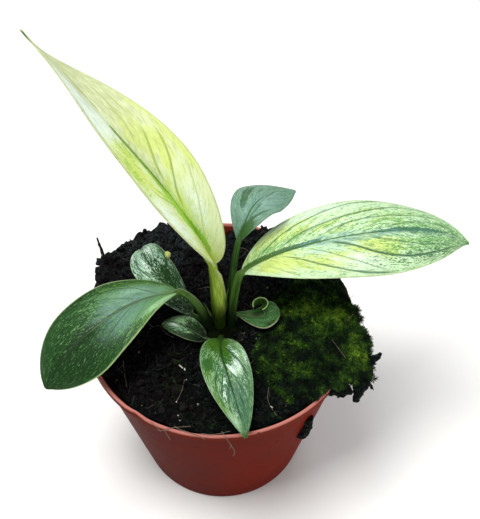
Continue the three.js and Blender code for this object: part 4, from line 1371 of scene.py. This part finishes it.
# %% The dark leaf on the left
LEAVES["leaf_left_dark"]["look"] = dict(
    pale=rgb(98, 144, 88), yellow_tone=rgb(94, 136, 42), white_tone=rgb(150, 192, 142),
    green_tone=rgb(34, 76, 30), deep_tone=rgb(17, 48, 12), foot_tone=rgb(54, 86, 22),
    painted_light_tone=rgb(112, 150, 138), edge_tone=rgb(176, 206, 140), vein_tone=rgb(26, 54, 24),
    streak=0.9, hairs=0.5, gloss=0.42, shine=0.22,
    green_ground=0.86,
    green=[(0.0, -0.3, 0.22, 1.6, -0.5), (0.18, -0.75, 0.26, 0.45, -0.45),
           (0.3, 0.45, 0.25, 0.5, -0.35),
           (0.3, -0.35, 0.25, 0.4, -0.3), (0.5, 0.4, 0.3, 0.5, -0.15)],
    deep_ground=0.25,
    deep=[(0.85, 0, 0.4, 1.2, 0.3), (0.6, 0, 0.5, 0.16, 0.35), (0.75, -0.6, 0.4, 0.5, 0.2),
          (0.45, 0.98, 0.3, 0.14, 0.5), (0.0, -0.2, 0.2, 1.5, -0.4), (0.25, 0.2, 0.25, 0.8, -0.3)],
    yellow=[(0.28, 0.82, 0.24, 0.2, 1.0), (0.05, 0.0, 0.1, 1.2, 0.5), (0.3, -0.85, 0.3, 0.2, 0.5)],
    white=[(0.08, -0.75, 0.12, 0.3, 0.9), (0.22, -0.72, 0.16, 0.2, 0.6),
           (0.1, 0.75, 0.06, 0.3, 0.6),
           (0.28, 0.45, 0.16, 0.2, 0.7)],
    # Painted sheen: bluish patches near the foot, where the glossy blade reflects the sky.
    sheen=[(0.38, -0.36, 0.18, 0.35, 0.95), (0.27, 0.42, 0.2, 0.3, 0.85),
           (0.4, 0.14, 0.16, 0.25, 0.95),
           (0.2, 0.1, 0.16, 0.3, 0.5), (0.3, -0.05, 0.2, 0.2, 0.4)],
    strokes=[
        ([(0.12, 0.02), (0.3, 0.03), (0.5, 0.02), (0.7, 0.0), (0.92, 0.0)], 0.026, 0.7),
        ([(0.16, 0.14), (0.22, 0.4), (0.28, 0.58), (0.36, 0.68), (0.5, 0.78)], 0.018, 0.7),
        ([(0.27, 0.05), (0.33, 0.25), (0.4, 0.42), (0.5, 0.62), (0.6, 0.76)], 0.018, 0.5),
        ([(0.3, -0.06), (0.36, -0.2), (0.45, -0.36), (0.58, -0.52)], 0.018, 0.6),
        ([(0.2, -0.1), (0.26, -0.4), (0.33, -0.62), (0.45, -0.78)], 0.016, 0.5),
        ([(0.48, -0.06), (0.56, -0.3), (0.68, -0.5), (0.82, -0.62)], 0.016, 0.6),
        ([(0.46, 0.06), (0.55, 0.28), (0.66, 0.48), (0.8, 0.62)], 0.016, 0.6),
    ],
)

# %% The notched leaf
LEAVES["leaf_notched"]["look"] = dict(
    pale=rgb(186, 222, 196), yellow_tone=rgb(98, 128, 28), white_tone=rgb(228, 250, 236),
    green_tone=rgb(44, 88, 38), deep_tone=rgb(22, 62, 14), foot_tone=rgb(16, 42, 10),
    painted_light_tone=rgb(86, 130, 112), edge_tone=rgb(176, 198, 158), vein_tone=rgb(28, 62, 34),
    streak=1.1, hairs=0.6, gloss=0.4, shine=0.25,
    green_ground=0.76,
    green=[(0.85, -0.5, 0.34, 0.6, -0.6), (0.95, 0.6, 0.2, 0.6, -0.6),
           (0.72, 0.35, 0.16, 0.3, -0.4)],
    deep_ground=0.2, deep=[(0.5, 0.25, 0.22, 0.5, 0.6), (0.15, 0, 0.3, 1.4, 0.6),
                           (0.84, -0.1, 0.12, 0.2, 0.5), (0.8, -0.7, 0.16, 0.12, 0.4)],
    yellow=[(0.45, 0.65, 0.16, 0.3, 0.5)],
    white=[(0.68, -0.3, 0.14, 0.2, 0.8), (0.92, -0.85, 0.14, 0.2, 0.8), (0.9, 0.3, 0.12, 0.4, 0.9)],
    # Painted sheen: two bluish patches.
    sheen=[(0.82, -0.65, 0.16, 0.3, 0.6), (0.7, 0.65, 0.1, 0.2, 0.6)],
    strokes=[
        ([(0.52, -0.2), (0.62, -0.12), (0.72, -0.1), (0.82, -0.06), (0.88, 0.02)], 0.05, 0.9),
        ([(0.68, 0.2), (0.76, 0.36), (0.84, 0.5), (0.9, 0.56)], 0.035, 0.8),
        ([(0.58, -0.5), (0.7, -0.62), (0.82, -0.62), (0.92, -0.5)], 0.035, 0.8),
        ([(0.64, 0.02), (0.72, 0.16), (0.8, 0.24)], 0.03, 0.7),
    ],
)

# %% The small low leaf
LEAVES["leaf_small_left"]["look"] = dict(
    pale=rgb(136, 178, 130), yellow_tone=rgb(108, 136, 46), white_tone=rgb(230, 252, 236),
    green_tone=rgb(52, 88, 44), deep_tone=rgb(20, 44, 10), foot_tone=rgb(10, 24, 6),
    painted_light_tone=rgb(104, 138, 122), edge_tone=rgb(140, 164, 118), vein_tone=rgb(24, 50, 20),
    streak=1.0, hairs=0.5, gloss=0.45, shine=0.2,
    green_ground=0.72, green=[(0.7, 0.1, 0.3, 0.7, -0.4)],
    deep=[(0.0, 0, 0.5, 1.6, 1.0), (0.45, -0.9, 0.35, 0.4, 0.8), (0.32, 0.3, 0.24, 0.4, 0.6),
          (0.92, 0.7, 0.16, 0.6, 0.8)],
    yellow=[(0.52, 0.55, 0.2, 0.3, 0.7)],
    white=[(0.74, -0.25, 0.2, 0.3, 1.1), (0.5, 0.86, 0.3, 0.16, 0.7)],
    # Painted sheen: one bluish patch.
    sheen=[(0.6, -0.35, 0.2, 0.3, 0.5)],
    strokes=[([(0.3, 0.06), (0.5, 0.08), (0.7, 0.1), (0.9, 0.16)], 0.04, 0.7),
             ([(0.46, -0.2), (0.6, -0.3), (0.74, -0.42)], 0.03, 0.5)],
)

# %% The front leaf
LEAVES["leaf_front"]["look"] = dict(
    pale=rgb(134, 172, 124), yellow_tone=rgb(112, 150, 60), white_tone=rgb(214, 238, 222),
    green_tone=rgb(60, 108, 64), deep_tone=rgb(44, 92, 28), foot_tone=rgb(58, 98, 20),
    painted_light_tone=rgb(74, 112, 98), edge_tone=rgb(146, 172, 134), vein_tone=rgb(34, 68, 42),
    streak=1.1, hairs=0.7, gloss=0.42, shine=0.22,
    green_ground=0.62,
    green=[(0.8, -0.3, 0.25, 0.5, 0.15), (0.6, 0.85, 0.25, 0.3, -0.2), (0.86, 0.6, 0.14, 0.5, -0.5),
           (0.38, -0.35, 0.14, 0.4, -0.45), (0.2, -0.8, 0.2, 0.25, -0.3)],
    deep_ground=0.16,
    deep=[(0.04, -0.6, 0.12, 0.7, 0.5), (0.13, 0.15, 0.2, 0.6, 0.6), (0.26, -0.2, 0.14, 0.3, 0.5),
          (0.33, 0.72, 0.1, 0.3, 0.8), (0.05, 0.7, 0.14, 0.8, 0.6)],
    yellow=[(0.42, 0.75, 0.2, 0.3, 0.6), (0.7, 0.85, 0.15, 0.2, 0.7), (0.55, -0.85, 0.16, 0.2, 0.6),
            (0.17, -0.15, 0.06, 0.2, 0.6), (0.98, 0, 0.05, 1.2, 0.9)],
    white=[(0.37, -0.48, 0.14, 0.3, 0.8), (0.87, 0.6, 0.12, 0.45, 0.5),
           (0.6, -0.62, 0.12, 0.16, 0.7),
           (0.3, -0.92, 0.2, 0.14, 0.7), (0.78, 0.25, 0.06, 0.14, 0.6)],
    # Painted sheen: bluish patches, where the glossy blade reflects the sky.
    sheen=[(0.7, -0.2, 0.25, 0.6, 0.8), (0.5, -0.8, 0.2, 0.25, 0.3), (0.6, 0.2, 0.1, 0.2, 0.4)],
    white_bands=[([(0.42, 0.08, 0.08), (0.5, 0.2, 0.12), (0.6, 0.42, 0.12),
                   (0.68, 0.58, 0.07)], 1.0),
                 ([(0.1, -0.12, 0.12), (0.14, -0.36, 0.14), (0.2, -0.52, 0.12),
                 (0.27, -0.64, 0.08)],
                  0.9),
                 ([(0.33, -0.08, 0.05), (0.4, -0.2, 0.07), (0.48, -0.34, 0.07)], 0.9),
                 ([(0.3, 0.08, 0.05), (0.36, 0.16, 0.08), (0.42, 0.26, 0.06)], 0.7)],
    strokes=[
        ([(0.1, 0.0), (0.25, 0.02), (0.4, 0.0), (0.6, 0.02), (0.9, 0.05)], 0.04, 0.9),
        ([(0.15, -0.22), (0.22, -0.38), (0.3, -0.54), (0.4, -0.68), (0.52, -0.8)], 0.05, 0.95),
        ([(0.42, 0.14), (0.5, 0.32), (0.58, 0.5), (0.66, 0.66)], 0.035, 0.95),
        ([(0.5, 0.05), (0.6, 0.2), (0.7, 0.42), (0.8, 0.6)], 0.03, 0.7),
        ([(0.3, 0.14), (0.4, 0.4), (0.5, 0.62), (0.6, 0.8)], 0.03, 0.7),
        ([(0.42, -0.1), (0.52, -0.3), (0.64, -0.5)], 0.03, 0.7),
        ([(0.56, -0.08), (0.66, -0.24), (0.78, -0.42)], 0.03, 0.7),
    ],
)

# %% The curled leaf
LEAVES["leaf_curled"]["look"] = dict(
    pale=rgb(88, 132, 80), yellow_tone=rgb(58, 88, 8), white_tone=rgb(150, 178, 146),
    green_tone=rgb(42, 84, 30), deep_tone=rgb(22, 50, 4), foot_tone=rgb(90, 110, 60),
    painted_light_tone=rgb(64, 106, 62), edge_tone=rgb(206, 206, 170), vein_tone=rgb(16, 42, 12),
    streak=1.0, hairs=0.6, gloss=0.45, shine=0.2,
    green_ground=0.72, deep=[(0.5, -0.35, 0.35, 0.4, 0.8), (0.3, -0.1, 0.2, 0.4, 0.5),
                             (0.75, 0.75, 0.25, 0.3, 0.7)],
    yellow=[(0.25, -0.1, 0.2, 0.6, 0.9), (0.1, 0.2, 0.12, 1.0, 0.4), (0.6, -0.6, 0.2, 0.2, 0.6)],
    white=[(0.15, 0.7, 0.12, 0.4, 0.7), (0.08, -0.3, 0.08, 0.6, 0.6)],
    # Painted sheen: two patches.
    sheen=[(0.5, 0.4, 0.3, 0.4, 0.9), (0.88, -0.3, 0.14, 0.7, 0.7)],
    strokes=[
        ([(0.4, -0.2), (0.6, -0.22), (0.8, -0.16)], 0.04, 0.8),
        ([(0.36, 0.12), (0.5, 0.2), (0.65, 0.26), (0.8, 0.2)], 0.04, 0.7),
        ([(0.45, -0.5), (0.6, -0.48), (0.75, -0.4)], 0.035, 0.7),
        ([(0.34, 0.4), (0.5, 0.52), (0.66, 0.56)], 0.035, 0.6),
    ],
)


# %% The leaf material
def stroke(paint, u, v, points, width, strength):
    """A line through points in leaf coordinates, as wide and as strong as told, broken a little."""
    shifted = [(x, (y + 1) / 2) for x, y in points]
    line = paint.node("ShaderNodeFloatCurve", {"curve": shifted}, {0: 1.0, 1: u})
    far = abs((v + 1) * 0.5 - line) * 2
    ends = u.step(points[0][0] - 0.01, points[0][0] + 0.04) * u.step(
        points[-1][0] + 0.01, points[-1][0] - 0.06
    )
    return far.step(width * 1.6, width * 0.3) * ends * strength


def blade_length(leaf):
    place, _ = bezier(leaf["blade"], np.linspace(0, 1, 40))
    return float(np.linalg.norm(np.diff(place, axis=0), axis=1).sum())


def leaf_finish(name, leaf):
    look = leaf["look"]
    paint = Paint(name, look["gloss"], look["shine"])
    map_u, map_v, _ = paint.axes(paint.node("ShaderNodeTexCoord", {}, {}, 2))
    v = map_v * -2 + 1
    reach = abs(v)
    lean, start, sweep = leaf["veins"]
    wobble = paint.noise(paint.join(map_u * 5, v * 2.5), 1.0, 2.0)
    vein = (map_u + start).math("LOGARITHM", math.e) - reach * lean - (reach ** 5) * sweep
    vein = vein + (wobble - 0.5) * 0.12
    half = v.step(-0.01, 0.01) * 7.0
    length, width = blade_length(leaf), max(leaf["width"])
    across, along = vein * (width / lean), map_u * length + reach * width
    dashes = paint.noise(paint.join(across * 1.7, along * 0.24, half), 1.0, 2.5, 0.6)
    drops = paint.noise(paint.join(across * 2.8, along * 0.8, half + 3.0), 1.0, 1.5, 0.5)
    blots = paint.noise(paint.join(across * 0.38, along * 0.09, half), 1.0, 2.0)
    cells = (dashes * 0.46 + drops * 0.38 + blots * 0.16 - 0.5) * 3.4
    green, deep, yellow = (paint.field(n) for n in ("green", "deep", "yellow"))
    white, sheen = paint.field("white"), paint.field("sheen")
    loud = look["streak"]
    yellowed = (yellow + (blots - 0.5) * 1.6).step(0.25, 0.85)
    tone = paint.mix(yellowed, look["pale"], look["yellow_tone"])
    tone = paint.mix((white + (dashes - 0.5) * 1.4).step(0.3, 0.8), tone, look["white_tone"])
    spread = (green - 0.5) * 0.75 + cells * loud
    tone = paint.mix(spread.step(-0.09, 0.09), tone, look["green_tone"])
    darker = (deep - 0.5) * 0.8 + (dashes * 0.5 + drops * 0.5 - 0.5) * (2.4 * loud)
    deep_tone = paint.mix(map_u.step(0.12, 0.32), look["foot_tone"], look["deep_tone"])
    tone = paint.mix(darker.step(-0.06, 0.12), tone, deep_tone)
    # Painted light from the last field: painted sheen on most leaves, painted shade on the tall
    # pale leaf.
    tone = paint.mix(sheen * (0.55 + (dashes - 0.5) * 1.6).step(0.1, 0.9), tone, look["painted_light_tone"])
    hairs = paint.noise(paint.join(across * 2.0, along * 0.11, half + 6.0), 1.0, 2.0, 0.6)
    tone = paint.mix(hairs.step(0.52, 0.68) * look["hairs"], tone, look["vein_tone"])
    lines = None
    for points, width, strength in look["strokes"]:
        line = stroke(paint, map_u, v + (drops - 0.5) * 0.02, points, width, strength)
        lines = line if lines is None else lines.most(line)
    tone = paint.mix(lines * (drops * 0.9 + 0.5).least(1.0), tone, look["vein_tone"])
    margin = reach.step(0.955, 0.99) * map_u.step(0.0, 0.05)
    tone = paint.mix(margin * 0.6, tone, look["edge_tone"])
    relief = cells * 0.12 - lines * 0.5 - hairs.step(0.5, 0.7) * 0.3 + drops * 0.15
    gloss = look["gloss"] + cells * 0.08
    return paint.finish(tone, gloss, relief, 0.00025)


# %% Stems: a tone, its ribs, a darker tone (also darkened into painted shadow at the foot), and where a darker groove runs around the stem
STEM_TONES = {
    "leaf_tall_pale": (rgb(138, 172, 38), rgb(186, 210, 92), rgb(62, 92, 8), 0.36),
    "leaf_right_striped": (rgb(54, 90, 20), rgb(92, 130, 50), rgb(24, 56, 8), 0.5),
    "leaf_back_grey": (rgb(44, 84, 20), rgb(76, 116, 44), rgb(24, 54, 12), 0.3),
    "leaf_left_dark": (rgb(50, 84, 22), rgb(92, 124, 54), rgb(18, 46, 6), 0.4),
    "leaf_notched": (rgb(34, 68, 16), rgb(74, 110, 46), rgb(16, 40, 6), 0.4),
    "leaf_small_left": (rgb(24, 48, 12), rgb(60, 90, 36), rgb(10, 24, 4), 0.4),
    "leaf_front": (rgb(24, 48, 12), rgb(56, 86, 30), rgb(8, 18, 3), 0.4),
    "leaf_curled": (rgb(48, 78, 22), rgb(96, 126, 66), rgb(22, 44, 10), 0.4),
}
STEM_SHARE = STEM_ROWS / (STEM_ROWS + RIB_ROWS)
EDGE_GREY, EDGE_SHARE = 0.5, 0.4
FOOT_SHADOW_FACTOR = 0.25


def stem_finish(name, tones):
    base, rib, dark, groove_at = tones
    paint = Paint(name, 0.42, 0.2)
    map_u, map_v, _ = paint.axes(paint.node("ShaderNodeTexCoord", {}, {}, 2))
    ribs = paint.noise(paint.join(map_u * 14, map_v * 34), 1.0, 2.0)
    cloud = paint.noise(paint.join(map_u * 10, map_v * 4), 1.0, 2.0)
    groove = map_v.near(groove_at, 0.14) * map_u.step(STEM_SHARE + 0.02, STEM_SHARE - 0.06)
    edges = map_v.near(0.25, 0.035).most(map_v.near(0.75, 0.035))
    tone = paint.mix(ribs.step(0.42, 0.7), base, rib)
    tone = paint.mix(cloud.step(0.5, 0.7) * 0.4, tone, dark)
    tone = paint.mix(groove * 0.85, tone, dark)
    pale_edge = tuple(blend(c, EDGE_GREY, EDGE_SHARE) for c in rib)
    tone = paint.mix(edges * map_u.step(0.05, 0.15) * 0.6, tone, pale_edge)
    # The foot of each stem is painted nearly black: painted shadow, where the stems crowd into the
    # peat.
    foot = tuple(c * FOOT_SHADOW_FACTOR for c in dark)
    tone = paint.mix(map_u.step(STEM_SHARE * 0.74, STEM_SHARE * 0.38), tone, foot)
    return paint.finish(tone, 0.4 + cloud * 0.15, ribs, 0.0003)


# %% [markdown]
# ### Sheaths at the crown
#
# The foot of a stem is a sheath: a thin wing that wraps the next leaf and stands off a little. The
# tall leaf has a clear one, pale green with a free edge that bulges and runs to a point below. It
# is a grid bent around the stem. Two green tips stand at the feet of other stems.


# %% The tall leaf's sheath and the two tips
def sheath_wing(u, v):
    leaf = LEAVES["leaf_tall_pale"]
    share = blend(0.44, 0.98, u)
    path, _ = bezier([*leaf["stem"], leaf["blade"][0]], share)
    radius = np.interp(share, [0, 0.5, 1], leaf["stem_radius"])
    spread = np.clip(np.sin(np.clip(u, 0, 1) ** 0.8 * math.pi), 0, 1) ** 0.7
    angle = np.radians(-82 + v * (24 + 110 * spread))
    reach = radius + 0.2 + 1.5 * spread ** 2 * v * v
    return path + np.stack([reach * np.cos(angle), reach * np.sin(angle), 0 * angle], 1)


def sheath_finish():
    paint = Paint("sheath_skin", 0.45, 0.2)
    map_u, map_v, _ = paint.axes(paint.node("ShaderNodeTexCoord", {}, {}, 2))
    ribs = paint.noise(paint.join(map_u * 5, map_v * 16), 1.0, 2.0)
    tone = paint.mix(ribs.step(0.4, 0.65), rgb(130, 160, 46), rgb(176, 200, 86))
    tone = paint.mix(map_v.step(0.35, 0.8) * 0.7, tone, rgb(196, 208, 146))
    tone = paint.mix(map_v.step(0.93, 0.98), tone, rgb(214, 224, 164))
    # Darker towards the lower end: painted shade, as at the feet of the stems.
    tone = paint.mix(map_u.step(0.4, 0.05) * 0.9, tone, rgb(34, 52, 6))
    return paint.finish(tone, height=ribs, depth=0.0003)


wing, _, _ = shaped_grid("sheath_wing", 40, 16, sheath_wing)
apply_modifier(wing, "SOLIDIFY", thickness=0.3 * MM, offset=0)
sheath_skin = sheath_finish()
wing.data.materials.append(sheath_skin)
STEM_TIPS = {
    "leaf_right_striped": ([(2.9, -8.4, 110), (3.2, -8.6, 118), (4.3, -8.8, 125)], 0.55),
    "leaf_left_dark": ([(-3.2, -9.4, 106), (-4.6, -9.2, 111), (-6.2, -9, 115.6)], 0.7),
}


# %% Grow and finish all the leaves
leaf_pieces = {}
for name, leaf in LEAVES.items():
    blade, stem = grown_leaf(name)
    blade.data.materials.append(leaf_finish(name + "_skin", leaf))
    stem.data.materials.append(stem_finish(name + "_stem_skin", STEM_TONES[name]))
    parts = [blade, stem]
    if name == "leaf_tall_pale":
        parts.append(wing)
    if name in STEM_TIPS:
        points, thick = STEM_TIPS[name]
        line = rounded(points, 2)
        tip = round_rod("tip", line, thick * np.linspace(1, 0.15, len(line)), 8)
        close_skin(tip)
        tip.data.materials.append(stem.data.materials[0])
        parts.append(tip)
    leaf_pieces[name] = joined(parts, name.replace("leaf_", "") + "_leaf")

# %% [markdown]
# ### A dry bud
#
# A pale dry bud hangs on the edge of the notched leaf. It is a short rough rod, and the leaf's own
# formula says where the edge is, so the bud touches it. A sphere would look too even.

# %% The bud on the notched leaf
edge, = blade_points(LEAVES["leaf_notched"], np.array([0.63]), np.array([1.0]))
bud = rough_rod("dry_bud", edge + (-0.7, 1.2, 0.4), edge + (1.4, -1.8, 0.4), 1.0, 1.25, 1.4, 72, 10)
bud.data.materials.append(tinted_finish("dry_bud", rgb(186, 196, 112), rgb(236, 238, 196), 0.6))
hand_over(bud, "leaf_notched", 40)

# %% [markdown]
# ### The curled margin
#
# One leaf near the crown has a margin that stands up behind it in an open ring. It is a band
# around three quarters of an ellipse, so a grid is wrapped on it.


# %% Curl of the small leaf
def curl_band(u, v):
    angle = np.radians(blend(-75, 205, u))
    flare = 1 + 0.1 * v
    x = 17.9 + 3.0 * flare * np.cos(angle)
    y = -1 + 2.4 * flare * np.sin(angle)
    top = 4.6 * (0.55 + 0.45 * np.sin(np.clip(u, 0.02, 0.98) * math.pi))
    return np.stack([x, y, 101.6 + v * top], 1)


curl, _, _ = shaped_grid("curled_margin", 48, 12, curl_band)
apply_modifier(curl, "SOLIDIFY", thickness=0.5 * MM, offset=0)
paint = Paint("curl_skin", 0.45, 0.2)
map_u, map_v, _ = paint.axes(paint.node("ShaderNodeTexCoord", {}, {}, 2))
specks = paint.noise(paint.join(map_u * 26, map_v * 7), 1.0, 2.0)
tone = paint.mix(specks.step(0.42, 0.66), rgb(34, 64, 14), rgb(78, 116, 52))
tone = paint.mix(map_v.step(0.9, 0.96), tone, rgb(150, 180, 112))
curl.data.materials.append(paint.finish(tone, height=specks, depth=0.0002))
leaf_pieces["leaf_curled"] = joined([leaf_pieces["leaf_curled"], curl], "curled_leaf")
for name, piece in leaf_pieces.items():
    hand_over(piece, name, 60)

# %% [markdown]
# ## The crown
#
# The CAD node of the crown is right as it is, a short stub with the leaf sockets, and most of it is
# under the peat. It only needs a finish: green tissue painted nearly black, and a nearly black
# brown
# below: painted shade, deep among the feet of the leaves.

# %% Crown finish
paint = Paint("crown_painted_shade", 0.7, 0.02)
spot = paint.place()
x, y, z = paint.axes(spot)
cloud = paint.noise(spot, 160.0, 3.0, 0.6)
# Nearly black green, and nearly black brown below 96 to 99 mm: painted shade deep in the crown.
tone = paint.mix(cloud.step(0.4, 0.65), rgb(5, 9, 3), rgb(13, 21, 6))
tone = paint.mix((z / MM).step(99, 96), tone, rgb(10, 9, 6))
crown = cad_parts["crown"]
crown.data.materials.clear()
crown.data.materials.append(paint.finish(tone, height=cloud, depth=0.0008))
